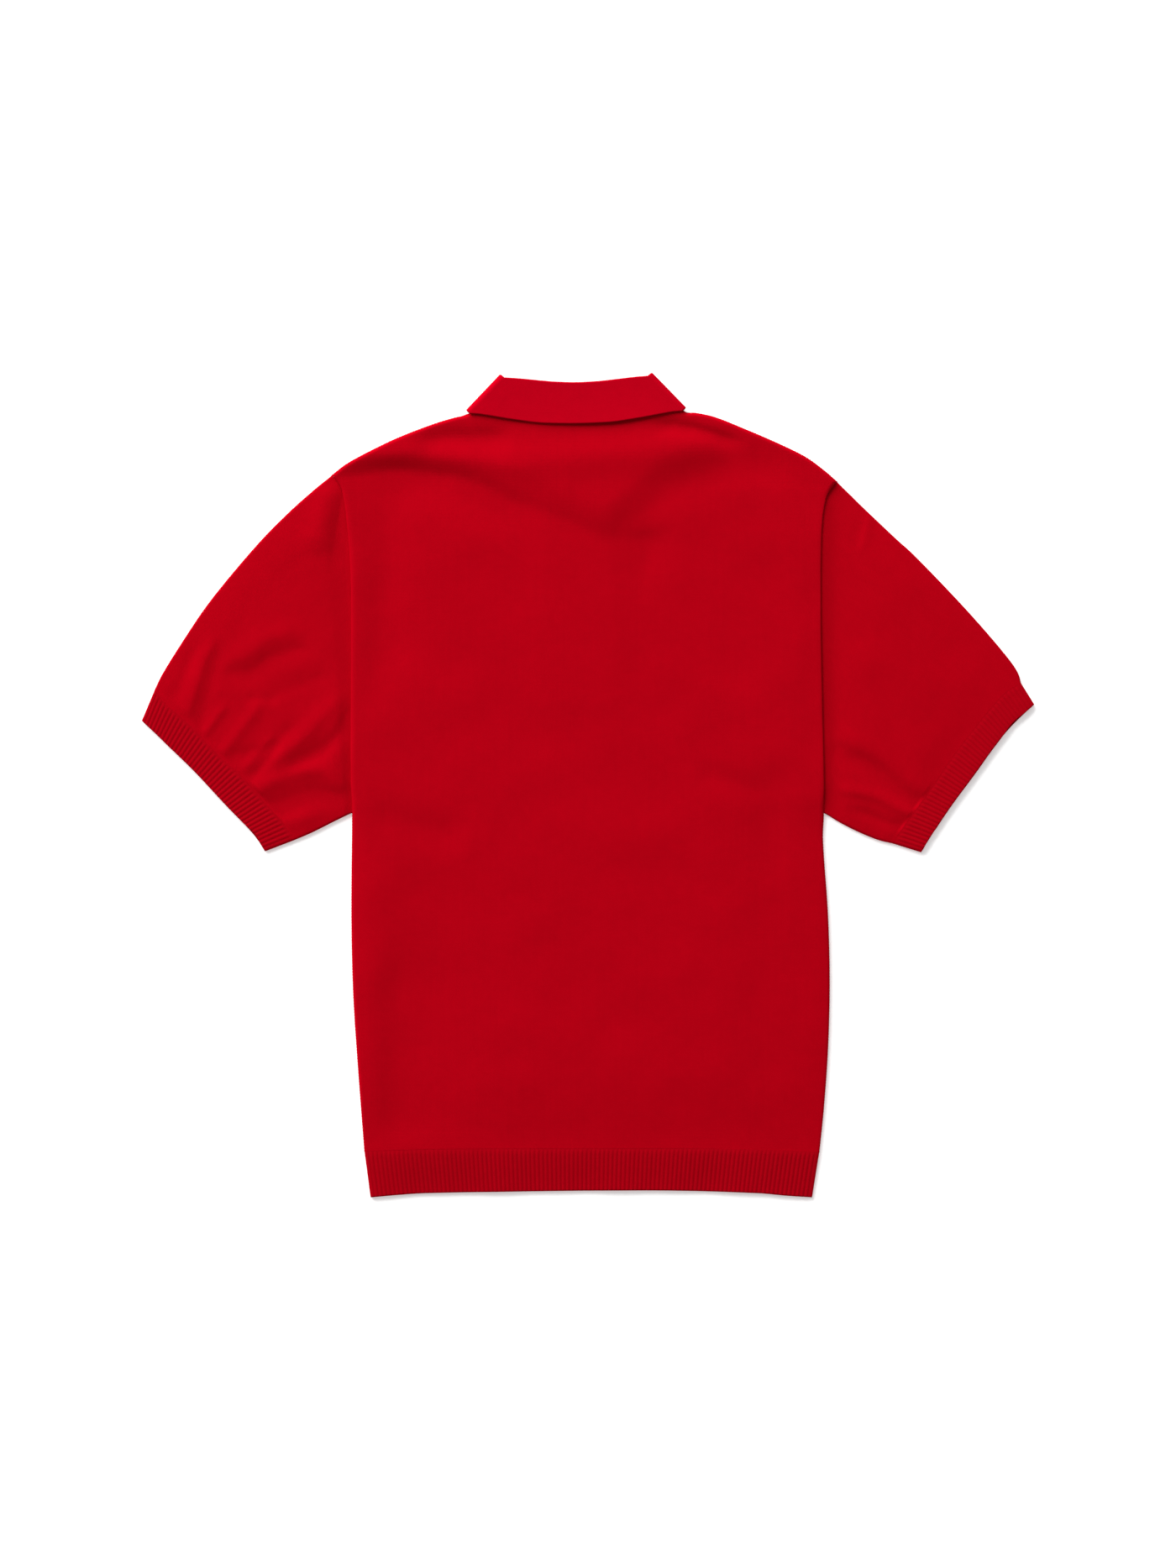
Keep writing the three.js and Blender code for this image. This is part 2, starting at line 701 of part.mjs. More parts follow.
function sleeve(shape) {
  const plan = sleevePlan(shape);
  const edges = [shape.overarm, shape.underarm];
  const rings = shape.rings;
  const topZ = (point, along, width) => {
    const fold = Math.min(...edges.map((edge) => distanceToPath(edge, point.x, point.y)));
    const fromArmhole = smooth((along * shape.length) / SLEEVE_ROLL);
    const fromCuff = smooth(((1 - along) * shape.length) / SLEEVE_ROLL);
    const air = lerp(CUFF_AIR, SLEEVE_AIR + creased(shape.creases, point.x, point.y), fromCuff);
    return OVER_FRONT + Math.max(air, 0.1) * rolled(fold, SLEEVE_ROLL) * fromArmhole;
  };
  const ringsAt = (inset) =>
    rings.map((along) => {
      const width = plan(0, along).distanceTo(plan(1, along));
      const lower = inset > 0 ? WALL : 0;
      const upper = inset > 0 ? 0 : WALL;
      return tubeRing({
        shares: foldedShares(width, shape.middle),
        lowShares: lowSharesOf(width, 3),
        width,
        inset,
        plan: (share) => plan(share, along),
        topZ: (point) => topZ(point, along, width) + upper,
        lowZ: lower,
      });
    });
  return tubeWall(ringsAt(0), ringsAt(WALL));
}

// A cuff runs from the rib line to its free edge, ribbed on its upper side.
function cuff({ ribLine, cuffEdge, ribs }) {
  const start = planCurve(ribLine);
  const end = planCurve(cuffEdge);
  const across = start.getPointAt(0).distanceTo(start.getPointAt(1));
  const deep = start.getPointAt(0.5).distanceTo(end.getPointAt(0.5));
  const plan = (side, down) => start.getPointAt(side).lerp(end.getPointAt(side), lerp(RIB_GAP / deep, 1, down));
  const rings = (inset, shares) =>
    [0, 0.5, 1].map((down) =>
      tubeRing({
        shares,
        lowShares: lowSharesOf(across, 3),
        width: across,
        inset,
        plan: (share) => plan(share, down),
        topZ: (point, share, crest) => {
          const side = Math.min(share, 1 - share) * across;
          const air = CUFF_AIR * rolled(side, SLEEVE_ROLL);
          const ribbed = crest * RIB_HEIGHT * smooth(side / RIB_FADE);
          return OVER_FRONT + air + (inset > 0 ? 0 : WALL + ribbed);
        },
        lowZ: inset > 0 ? WALL : 0,
      }),
    );
  return tubeWall(rings(0, ribColumns(ribs)), rings(WALL, foldedShares(across, 8)));
}

// One section of the collar: up the stand from the neckline, over the fold and down the fall.
function collarSection(station, hand, side) {
  const turn = degToRad(station.turn);
  const plan = (out, y) => {
    const x = NECK_X + hand * out;
    return new THREE.Vector3(x, neckTilted(x, y), COLLAR_AXIS_Z);
  };
  const normal = new THREE.Vector3(hand * CREASE_OUT.x * Math.sin(turn), CREASE_OUT.y * Math.sin(turn), Math.cos(turn));
  const neck = plan(station.neckOut, station.neckY);
  const fold = plan(station.foldOut, station.foldY);
  const edge = plan(station.edgeOut, station.edgeY);
  const upward = fold.clone().multiplyScalar(2).sub(neck).sub(edge).normalize();
  const half = side * (WALL / 2);
  const radius = FOLD_HALF_GAP + half;
  const offset = (point, reach) => point.addScaledVector(normal, CREASE_RADIUS + reach);
  const stand = [0, 0.35, 0.7, 1].map((t) => offset(neck.clone().lerp(fold, t), -radius));
  const turnSteps = [45, 90, 135].map(degToRad).map((angle) => {
    const point = fold.clone().addScaledVector(upward, radius * Math.sin(angle));
    return offset(point, -radius * Math.cos(angle));
  });
  const fall = [0, 0.25, 0.5, 0.75, 1].map((t) =>
    offset(fold.clone().lerp(edge, t), radius + station.flare * t * t),
  );
  return [...stand, ...turnSteps, ...fall];
}

// A station's neckline seam, just clear of the panel that it is sewn to.
function seated(station, neckY) {
  const slope = neckY(station.neckOut + 0.5) - neckY(station.neckOut - 0.5);
  const inset = COLLAR_GAP / Math.hypot(1, slope);
  return { ...station, neckOut: station.neckOut - inset * slope, neckY: neckY(station.neckOut) + inset };
}

function collar() {
  const crease = CREASE_TURNS.map((turn) => ({ ...COLLAR_CREASE, turn, flare: 0 }));
  const half = [
    ...COLLAR_FRONT.map((station) => seated(station, frontNeckY)),
    ...crease,
    ...COLLAR_BACK.map((station) => seated(station, backNeckY)),
  ];
  const stations = [
    ...half.map((station) => [station, -1]),
    ...half.slice(0, -1).reverse().map((station) => [station, 1]),
  ];
  const at = (side) => stations.map(([station, hand]) => collarSection(station, hand, side));
  return panelWall(at(1), at(-1));
}

// A placket band. The outer one lies on the surface and the buttons, and the inner one on it.
function placketBand(level) {
  const columns = spread([-PLACKET_HALF, -11, 11, PLACKET_HALF], [1, 5, 1]);
  const ends = BUTTON_Y.flatMap((y) => [y - BUTTON_REACH, y + BUTTON_REACH]).sort((a, b) => a - b);
  const breaks = [PLACKET_LOW, ...ends.slice(0, -1), PLACKET_HIGH];
  const rows = spread(breaks, [1, 5, 1, 5, 1, 5]);
  const lift = (x, y) => Math.max(leafLift(x, y), buttonLift(x, y));
  const at = (z) =>
    gridOf(rows, columns, (aside, y) => {
      const x = PLACKET_X + aside;
      return new THREE.Vector3(x, y, lift(x, y) + z);
    });
  return panelWall(at(level + WALL), at(level));
}

// A four-hole button, face down: a rim, a sunk middle and a slightly domed back.
function button(wasm) {
  const profile = table("r z", [
    [0, 0.5],
    [3.4, 0.5],
    [4.3, 0],
    [5.2, 0.1],
    [BUTTON_RADIUS, 0.8],
    [5.2, 1.6],
    [3.0, BUTTON_THICK],
    [0, BUTTON_THICK],
  ]);
  const points = profile.map(({ r, z }) => new THREE.Vector2(r, z));
  const disc = new THREE.LatheGeometry(points, 14).rotateX(Math.PI / 2);
  const holes = [45, 135, 225, 315].map(degToRad).map((angle) => {
    const hole = new THREE.CylinderGeometry(BUTTON_HOLE_RADIUS, BUTTON_HOLE_RADIUS, 8, 6).rotateX(Math.PI / 2);
    const out = BUTTON_HOLE_OFFSET * Math.SQRT2;
    return hole.translate(out * Math.cos(angle), out * Math.sin(angle), 0);
  });
  return cut(wasm, disc, holes);
}

function toManifold(wasm, geometry) {
  const bare = geometry.clone().deleteAttribute("normal").deleteAttribute("uv");
  const merged = mergeVertices(bare, 1e-4);
  return new wasm.Manifold(
    new wasm.Mesh({
      numProp: 3,
      vertProperties: merged.attributes.position.array,
      triVerts: new Uint32Array(merged.index.array),
    }),
  );
}

// A geometry with other geometries cut out of it.
function cut(wasm, geometry, tools) {
  let solid = toManifold(wasm, geometry);
  if (solid.volume() < 0) throw new Error("a geometry to cut is inside out");
  for (const tool of tools) solid = solid.subtract(toManifold(wasm, tool));
  const { vertProperties, triVerts } = solid.getMesh();
  return new THREE.BufferGeometry()
    .setAttribute("position", new THREE.BufferAttribute(vertProperties, 3))
    .setIndex(new THREE.BufferAttribute(triVerts, 1));
}

const wasm = await Module();
wasm.setup();

const knit = new THREE.MeshStandardMaterial({ color: 0xb50014, roughness: 0.9, metalness: 0 });
const rib = new THREE.MeshStandardMaterial({ color: 0xa00012, roughness: 0.92, metalness: 0 });
const collarKnit = new THREE.MeshStandardMaterial({ color: 0xbd0019, roughness: 0.88, metalness: 0 });
const buttonResin = new THREE.MeshStandardMaterial({ color: 0x8e0d1a, roughness: 0.35, metalness: 0 });

const shirt = new THREE.Group();

function place(name, geometry, material) {
  const mesh = new THREE.Mesh(geometry, material);
  mesh.name = name;
  shirt.add(mesh);
  return mesh;
}

const LEFT_SLEEVE = {
  overarm: LEFT_OVERARM,
  underarm: LEFT_UNDERARM,
  ribLine: LEFT_RIB_LINE,
  edgeX: leftEdgeX,
  gap: -0.4,
  creases: LEFT_SLEEVE_CREASES,
  length: 190,
  middle: 12,
  rings: spread([0, 0.12, 0.35, 0.93, 1], [3, 2, 10, 2]),
};
const RIGHT_SLEEVE = {
  overarm: RIGHT_OVERARM,
  underarm: RIGHT_UNDERARM,
  ribLine: RIGHT_RIB_LINE,
  edgeX: rightEdgeX,
  gap: 0.4,
  creases: RIGHT_SLEEVE_CREASES,
  length: 190,
  middle: 10,
  rings: spread([0, 0.12, 0.35, 0.93, 1], [3, 2, 6, 2]),
};

place("back_panel", backPanel(), knit);
place("front_panel", frontPanel(wasm), knit);
place("sleeve_left", sleeve(LEFT_SLEEVE), knit);
place("sleeve_right", sleeve(RIGHT_SLEEVE), knit);
place("hem_rib_back", hemRibBack(), rib);
place("hem_rib_front", hemRibFront(), rib);
place("cuff_left", cuff({ ribLine: LEFT_RIB_LINE, cuffEdge: LEFT_CUFF_EDGE, ribs: LEFT_CUFF_RIBS }), rib);
place("cuff_right", cuff({ ribLine: RIGHT_RIB_LINE, cuffEdge: RIGHT_CUFF_EDGE, ribs: RIGHT_CUFF_RIBS }), rib);
place("collar", collar(), collarKnit);
place("placket_over", placketBand(0), knit);
place("placket_under", placketBand(OVER_FRONT), knit);

["top", "middle", "bottom"].forEach((where, i) => {
  const mesh = place("button_" + where, button(wasm), buttonResin);
  mesh.position.set(PLACKET_X, BUTTON_Y[i], 0);
});

export default shirt;
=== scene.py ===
"""A short-sleeved knitted polo shirt, laid flat and face down on a pale floor.

Shapes are worked out in millimetres in the part's own frame and written to the meshes in metres.
+Z is up from the floor, +Y runs from hem to collar, and left and right are the wearer's.
"""

import math

import bmesh
import bpy
import numpy as np
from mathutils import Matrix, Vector


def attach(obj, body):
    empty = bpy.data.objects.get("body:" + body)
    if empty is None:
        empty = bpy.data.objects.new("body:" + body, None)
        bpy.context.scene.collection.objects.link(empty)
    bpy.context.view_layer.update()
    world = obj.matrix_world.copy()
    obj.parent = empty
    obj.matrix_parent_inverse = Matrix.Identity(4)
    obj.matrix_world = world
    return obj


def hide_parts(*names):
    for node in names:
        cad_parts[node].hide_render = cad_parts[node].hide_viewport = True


bl_info = {
    "name": "Knitted polo shirt",
    "version": (1, 0, 0),
    "blender": (4, 5, 0),
    "location": "View3D > Sidebar > Shirt",
    "description": "Builds a knitted polo shirt that lies flat, with its stage",
    "category": "Object",
}

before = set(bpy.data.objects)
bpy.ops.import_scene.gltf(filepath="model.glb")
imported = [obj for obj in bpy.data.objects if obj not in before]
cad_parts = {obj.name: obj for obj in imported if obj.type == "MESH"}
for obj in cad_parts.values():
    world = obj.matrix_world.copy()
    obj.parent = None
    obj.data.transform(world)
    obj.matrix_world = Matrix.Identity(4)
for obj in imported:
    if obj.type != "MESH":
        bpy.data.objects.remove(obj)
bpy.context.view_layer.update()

MM = 0.001

# Cloth and seams
WALL = 1.4
SEAM_GAP = 0.3
RIB_GAP = 0.42
COLLAR_GAP = 0.4
OVER_FRONT = WALL + SEAM_GAP
RIM_ROUND = 0.9
ARMHOLE_ROUND = 0.8
FRONT_LOW = 0.45
THREAD_ROOM = 0.2
ARMHOLE_STITCH_SINK = 0.4

BODY_WIDTH = 430
BODY_LENGTH = 650

# Air under the upper layers
BODY_AIR = 2.8
BELOW_COLLAR_AIR = 0.9
HEM_AIR = 1.5
SLEEVE_AIR = 1.6
CUFF_AIR = 0.9
NECK_RAISE = 2.3
SIDE_SLOPE = 44
SIDE_LIFT = 0.45
RIGHT_SIDE_SLOPE = 3 * SIDE_SLOPE
RIGHT_SIDE_LIFT = 0.7 * SIDE_LIFT
UNDERARM_EASE = 26
SHOULDER_FADE = 22
ARMHOLE_LOW_FADE = 28
HEM_AIR_EASE = 70
HEM_FOLD_FADE = 34
RIM_ROLL = 3
SHOULDER_ROLL = 3.6
LEFT_ARMHOLE_ROLL = 5
RIGHT_ARMHOLE_ROLL = 4.5
LEFT_SEAM_AIR = 2.0
RIGHT_SEAM_AIR = 3.2
LEFT_LAP = 1.2
RIGHT_LAP = 0.6
SLEEVE_SLOPE = 30
CUFF_SLOPE = 34
EDGE_ROUND = 1.5
SIDE_REACH = 8
TUBE_MIDDLE = (WALL + OVER_FRONT) / 2

# Ribs
HEM_RIBS = 104
HEM_WIDTH = 400
HEM_DEPTH = 40
RIB_COLUMNS = 8
RIB_FADE = 5
RIB_START = 4

# Stage, in metres
CAMERA_HEIGHT = 3.3565
CAMERA_Y = 0.00114
FLOOR_GLOW = 0.35

# Collar
NECK_X = -10.8
NECK_TILT = 0.0115
FOLD_HALF_GAP = 1.0
CREASE_RADIUS = 3.4
COLLAR_AXIS_Z = CREASE_RADIUS + FOLD_HALF_GAP + WALL / 2
CREASE_OUT = (0.723, 0.691)
LEAF_LIFT = 2.0
LEAF_SLOPE = 22
LEAF_REACH = 140
LEAF_FOOT = 150
LEAF_REACH_EASE = 36
LEAF_FOOT_EASE = 50
LEAF_SHOULDER_EASE = 30

# Placket and buttons
PLACKET_X = -8.8
PLACKET_HALF = 17.5
PLACKET_LOW = 88
PLACKET_HIGH = 249.6
PLACKET_STEP = 64
PLACKET_CLEAR = 8
BUTTON_Y = (236, 177, 118)
BUTTON_RADIUS = 5.75
BUTTON_THICK = 2.0
BUTTON_BED = 7
BUTTON_REACH = 15


def table(columns, rows):
    """A table's columns by name."""
    return dict(zip(columns.split(), np.array(rows, float).T))


LEFT_EDGE = table(
    "y x",
    [
        (-331.2, -202.6), (-247, -209.0), (-186, -212.8), (-118, -214.3), (-25, -213.6), (65, -213.6),
        (133, -213.2), (194, -213.9), (239, -217.4), (266, -221.9), (281.2, -231.8),
    ],
)
RIGHT_EDGE = table(
    "y x",
    [
        (-332.0, 209.6), (-293, 213.6), (-239, 217.4), (-179, 218.9), (-118, 217.4), (-49, 212.8), (-25, 213.6),
        (72, 211.6), (150, 210.2), (200, 210.2), (240, 211.6), (260.7, 215.5), (275.1, 225.7),
    ],
)
RIB_LINE = table("x y", [(-202.6, -331.2), (-140, -329.4), (0, -328.8), (140, -329.2), (209.6, -332.0)])
HEM_LINE = table(
    "x y",
    [
        (-197, -373.4), (-172, -371.2), (-147, -369.6), (-71, -368.2), (4, -367.3), (79, -367.3),
        (154, -369.6), (179, -371.8), (203, -373.4),
    ],
)
LEFT_SHOULDER = table(
    "x y",
    [
        (-231.8, 281.2), (-218.9, 291.1), (-196.8, 303.2), (-171.0, 315.4), (-139.1, 327.6), (-118.6, 333.6),
        (-108.9, 335.4), (-100.8, 342.2),
    ],
)
RIGHT_SHOULDER = table(
    "x y",
    [
        (79.2, 344.2), (87.4, 337.5), (97.0, 337.4), (114.8, 333.6), (145.2, 321.5), (173.3, 309.3),
        (197.6, 297.2), (214.3, 285.0), (225.7, 275.1),
    ],
)
BACK_NECK = table("out y", [(0, 336.4), (30, 336.8), (55, 338.0), (75, 340.1), (90, 343.2)])
FRONT_NECK = table(
    "out y",
    [(0, 250.0), (12, 251.2), (37, 259.6), (64, 280.6), (76, 297.0), (83, 311.5), (87.4, 326.0), (90, 343.2)],
)
LEFT_OVERARM = table(
    "x y",
    [
        (-232.2, 281.0), (-249.3, 266.8), (-269.8, 248.5), (-294.1, 224.2), (-320.7, 193.8), (-345.0, 163.4),
        (-365.6, 133.0), (-384.6, 102.6), (-392.2, 87.4),
    ],
)
LEFT_UNDERARM = table("x y", [(-214.0, -25.1), (-232.6, -34.2), (-249.3, -42.6), (-266.0, -49.8)])
LEFT_RIB_LINE = table(
    "x y",
    [
        (-392.2, 87.4), (-383.0, 74.5), (-359.8, 53.6), (-334.4, 26.9), (-311.3, 5.1), (-291.8, -16.7),
        (-274.6, -36.2), (-266.0, -49.8),
    ],
)
LEFT_CUFF_EDGE = table(
    "x y",
    [
        (-404.3, 58.5), (-384.0, 39.0), (-356.4, 12.2), (-329.5, -16.7), (-308.9, -38.0), (-299.4, -49.4),
        (-292.6, -60.0),
    ],
)
RIGHT_OVERARM = table(
    "x y",
    [
        (226.1, 274.9), (246.2, 254.6), (278.2, 224.2), (294.9, 209.0), (324.5, 178.6), (352.6, 148.2),
        (378.5, 117.8), (389.1, 102.6), (392.2, 92.7),
    ],
)
RIGHT_UNDERARM = table(
    "x y", [(214.0, -25.1), (228.8, -34.2), (245.5, -42.6), (262.2, -49.4), (275.9, -52.8)]
)
RIGHT_RIB_LINE = table(
    "x y",
    [
        (392.2, 92.7), (374.7, 81.0), (348.1, 49.4), (326.0, 19.8), (307.8, -7.6), (290.3, -31.4),
        (275.9, -52.8),
    ],
)
RIGHT_CUFF_EDGE = table(
    "x y",
    [
        (404.3, 73.3), (383.8, 53.6), (368.1, 34.6), (350.4, 10.0), (331.4, -15.6), (316.9, -36.8),
        (301.7, -60.8),
    ],
)
# Collar stations: the fold and the free edge for each place on the neckline, and the edge's stand-off
COLLAR_FRONT = table(
    "neckOut foldOut foldY edgeOut edgeY",
    [
        (3.0, 2.0, 268.0, 45.2, 216.0), (19.0, 13.0, 274.0, 59.0, 228.0), (37.0, 25.2, 283.0, 71.2, 243.0),
        (63.6, 43.2, 303.0, 85.2, 270.0), (80.0, 55.2, 330.0, 92.2, 300.0), (86.5, 61.5, 352.0, 95.0, 320.0),
    ],
)
COLLAR_CREASE = dict(neckOut=89.4, neckY=344.1, foldOut=66.0, foldY=368.4, edgeOut=96.0, edgeY=337.2)
COLLAR_BACK = table(
    "neckOut foldOut foldY edgeOut edgeY flare",
    [
        (81.5, 60.5, 368.0, 88.0, 336.6, 0.5), (69.0, 51.5, 367.2, 77.0, 334.8, 0.8),
        (48.0, 36.0, 365.4, 55.0, 331.0, 1.0), (24.0, 18.0, 363.6, 28.0, 327.6, 1.1),
        (0.0, 0.0, 362.9, 0.0, 326.9, 1.1),
    ],
)
LEAF_LOW = table(
    "out y", [(0, 236), (25, 222), (45, 206), (71, 226), (85, 248), (93, 272), (98, 302), (104, 345), (112, 385)]
)
RAISE_LOW = table(
    "x y slope",
    [
        (-232, 286, 12), (-190, 291, 12), (-152, 289, 13), (-106, 283, 14), (-60, 272, 18), (-15, 250, 22),
        (16, 234, 24), (32, 247, 26), (68, 277, 26), (110, 293, 28), (170, 295, 26), (226, 284, 22),
    ],
)

# Soft folds: height, width on the left and on the right of the way the path runs, and its points.
# Ridges are positive. The steep side is the narrow one.
BACK_FOLDS = (
    # the low mound over the collar's front leaves
    (1.7, 40, 50, [(-176, 260), (-100, 262), (-30, 256), (30, 258), (90, 266), (156, 270)]),
    # the slope down from the collar's left front leaf, and the softer one from its right leaf
    (0.8, 12, 9, [(-236, 288), (-196, 299), (-152, 303), (-110, 298), (-66, 290), (-20, 280)]),
    (
        -3.1, 12, 26,
        [
            (-246, 269), (-206, 278), (-176, 281), (-146, 280), (-108, 271), (-70, 252), (-30, 233), (8, 220),
            (40, 206),
        ],
    ),
    (2.5, 17, 18, [(-96, 300), (-40, 296), (0, 297), (40, 300), (90, 304), (140, 304)]),
    (-1.5, 20, 20, [(30, 250), (62, 266), (90, 278), (116, 286), (146, 290), (196, 286)]),
    # the point of the V
    (-1.3, 30, 9, [(82, 222), (54, 222), (26, 217), (0, 214), (-30, 218)]),
    (-0.8, 26, 16, [(64, 196), (44, 197), (22, 196), (0, 197)]),
    # under the collar's two corners
    (-2.2, 9, 13, [(-164, 307), (-132, 313), (-106, 314), (-62, 316)]),
    (-2.2, 5.5, 9, [(50, 327), (80, 325), (106, 319.5), (146, 307)]),
    # beside the armholes
    (-1.9, 22, 18, [(-186, 300), (-183, 240), (-184, 160), (-190, 50)]),
    (0.5, 14, 18, [(190, 266), (190, 190), (188, 90), (192, -10)]),
    (0.8, 26, 22, [(168, 130), (160, 60), (172, -10)]),
    # the body's lower left, where the cloth sinks beside the side seam
    (-1.5, 15, 22, [(-206, -22), (-158, -38), (-104, -52)]),
    (1.4, 20, 14, [(-204, 10), (-206, -110), (-209, -190), (-201, -350)]),
    (-1.5, 60, 30, [(-138, -40), (-144, -120), (-150, -200), (-152, -270), (-148, -350)]),
    (-2.0, 44, 20, [(-166, -120), (-168, -200), (-170, -270), (-164, -370)]),
    (0.5, 40, 13, [(-190, -299), (-120, -302), (-40, -306)]),
    # the lower right
    (-0.9, 9, 12, [(94, 14), (130, 4), (166, -12)]),
    (-1.2, 18, 16, [(172, 34), (164, -30), (172, -100)]),
    (-0.8, 22, 22, [(148, -90), (162, -200), (148, -320)]),
    (0.5, 6, 14, [(206, -40), (209, -150), (206, -320)]),
    # the middle
    (-0.5, 6, 6, [(-6, 80), (14, 86), (36, 93)]),
    (-0.4, 16, 22, [(0, -76), (60, -86), (124, -78)]),
    (0.4, 26, 26, [(-80, -50), (20, -44), (110, -52)]),
    (-0.4, 26, 34, [(-110, -156), (-30, -186), (84, -174)]),
)
LEFT_SLEEVE_FOLDS = (
    # along the armhole
    (1.7, 12, 14, [(-234, 286), (-237, 262), (-242, 236), (-248, 204)]),
    (-1.0, 5, 8, [(-219, 284), (-220, 256), (-224, 226), (-227, 186)]),
    (-0.5, 6, 12, [(-224, 220), (-221, 150), (-219, 80)]),
    (1.0, 9, 9, [(-226, 76), (-229, 46), (-229, 18), (-227, -24)]),
    # across the upper arm
    (0.9, 11, 8, [(-336, 120), (-320, 116), (-306, 121), (-290, 133), (-250, 144)]),
    (-1.0, 7, 10, [(-344, 100), (-322, 100), (-302, 103), (-284, 116), (-240, 128)]),
    (1.1, 5, 8, [(-334, 142), (-348, 112), (-356, 86), (-368, 46)]),
    (-0.6, 6, 5, [(-326, 132), (-338, 104), (-346, 76), (-356, 34)]),
    (-0.6, 6, 6, [(-354, 132), (-365, 104), (-380, 68)]),
    (-0.5, 9, 7, [(-296, 78), (-262, 90), (-224, 104)]),
    (-0.5, 5, 5, [(-312, 80), (-296, 78), (-278, 79)]),
    # from the cuff up to the underarm
    (0.9, 6, 6, [(-290, 86), (-305, 62), (-317, 47), (-340, 16)]),
    (-0.8, 6, 8, [(-334, 24), (-304, 30), (-286, 36), (-256, 64)]),
    (0.6, 4, 5, [(-280, 50), (-299, 29), (-318, 6)]),
    (-0.6, 4, 4, [(-274, 44), (-291, 22), (-310, 0)]),
    (0.8, 4, 5, [(-324, 78), (-340, 56), (-358, 32)]),
    (1.2, 10, 7, [(-296, 14), (-268, 35), (-248, 54), (-214, 90)]),
    (-1.5, 7, 8, [(-292, 2), (-266, 17), (-248, 28), (-230, 42), (-202, 78)]),
    (1.6, 9, 8, [(-332, -28), (-290, 1), (-266, 12), (-248, 14), (-222, 8)]),
    (-1.9, 9, 11, [(-320, -44), (-284, -23), (-262, -13), (-242, -9), (-204, -12)]),
    (0.5, 7, 8, [(-304, -42), (-270, -33), (-236, -27)]),
)
RIGHT_SLEEVE_FOLDS = (
    (1.5, 8, 8, [(213, 420), (212, 260), (211, 150), (212, 60), (214, -160)]),
    (-0.6, 5, 5, [(252, 262), (245, 238), (239, 208)]),
    (0.4, 5, 5, [(260, 258), (253, 234), (246, 206)]),
    (0.8, 10, 8, [(204, 46), (236, 41), (262, 28), (286, 8), (326, -26)]),
    (-1.6, 8, 9, [(214, 32), (240, 24), (262, 11), (282, -7), (300, -18), (334, -32)]),
    (1.0, 7, 5, [(218, -2), (242, -6), (262, -11), (284, -22), (312, -32)]),
    (-1.0, 5, 6, [(230, -20), (253, -27), (272, -35), (290, -38), (312, -42)]),
    (0.4, 20, 18, [(230, 126), (280, 100), (308, 48)]),
)


# Curves and heights


def lerp(a, b, t):
    return a + (b - a) * t


def smooth(t):
    t = np.clip(t, 0, 1)
    return t * t * (3 - 2 * t)


def softly_over(value, least, sharpness=2.5):
    """The value where it is well over the least, easing to the least below it."""
    return least + np.log1p(np.exp(np.clip((value - least) * sharpness, -30, 30))) / sharpness


def rolled(distance, roll):
    """How high a soft edge stands at a distance from its seam: 0 at the seam, 1 beyond the roll."""
    inward = 1 - np.clip(distance / roll, 0, 1)
    return np.sqrt(1 - inward * inward)


def sloped(distance, width, start):
    """How high flattened cloth stands at a distance from its edge: a thin rim, then a slope that levels off."""
    inward = 1 - np.clip(distance / width, 0, 1)
    return rolled(distance, RIM_ROLL) * lerp(start, 1, 1 - inward * inward)


def through(rows, key, value):
    """A smooth curve through a table's rows, as a function of one column."""
    keys, values = rows[key], rows[value]
    ends = np.arange(len(keys))
    before, after = np.maximum(ends - 1, 0), np.minimum(ends + 1, len(keys) - 1)
    slopes = (values[after] - values[before]) / (keys[after] - keys[before])

    def curve(at):
        k = np.clip(at, keys[0], keys[-1])
        i = np.clip(np.searchsorted(keys, k, side="right") - 1, 0, len(keys) - 2)
        span = keys[i + 1] - keys[i]
        t = (k - keys[i]) / span
        bend = t * (1 - t) * span * ((1 - t) * slopes[i] - t * slopes[i + 1])
        return values[i] + t * t * (3 - 2 * t) * (values[i + 1] - values[i]) + bend

    return curve


def plan_curve(rows):
    """A smooth curve through a table's points in plan, as a function of the share of its length."""
    points = np.stack([rows["x"], rows["y"]], 1)
    ends = np.concatenate([points[:1], points, points[-1:]])
    t = np.linspace(0, 1, 60)[:, None]
    runs = []
    for a, b, c, d in zip(ends, ends[1:], ends[2:], ends[3:]):
        u, v = (c - a) / 2, (d - b) / 2
        runs.append((2 * b - 2 * c + u + v) * t**3 + (3 * c - 3 * b - 2 * u - v) * t**2 + u * t + b)
    line = np.concatenate(runs)
    lengths = np.concatenate([[0], np.cumsum(np.linalg.norm(np.diff(line, axis=0), axis=1))])
    lengths /= lengths[-1]

    def curve(share):
        share = np.asarray(share, float)
        return np.stack([np.interp(share, lengths, line[:, k]) for k in (0, 1)], -1)

    return curve


def distance_to_path(rows, x, y):
    nearest = np.full(np.broadcast(x, y).shape, np.inf)
    px, py = rows["x"], rows["y"]
    for ax, ay, bx, by in zip(px, py, px[1:], py[1:]):
        dx, dy = bx - ax, by - ay
        t = np.clip(((x - ax) * dx + (y - ay) * dy) / (dx * dx + dy * dy), 0, 1)
        nearest = np.minimum(nearest, np.hypot(x - ax - t * dx, y - ay - t * dy))
    return nearest


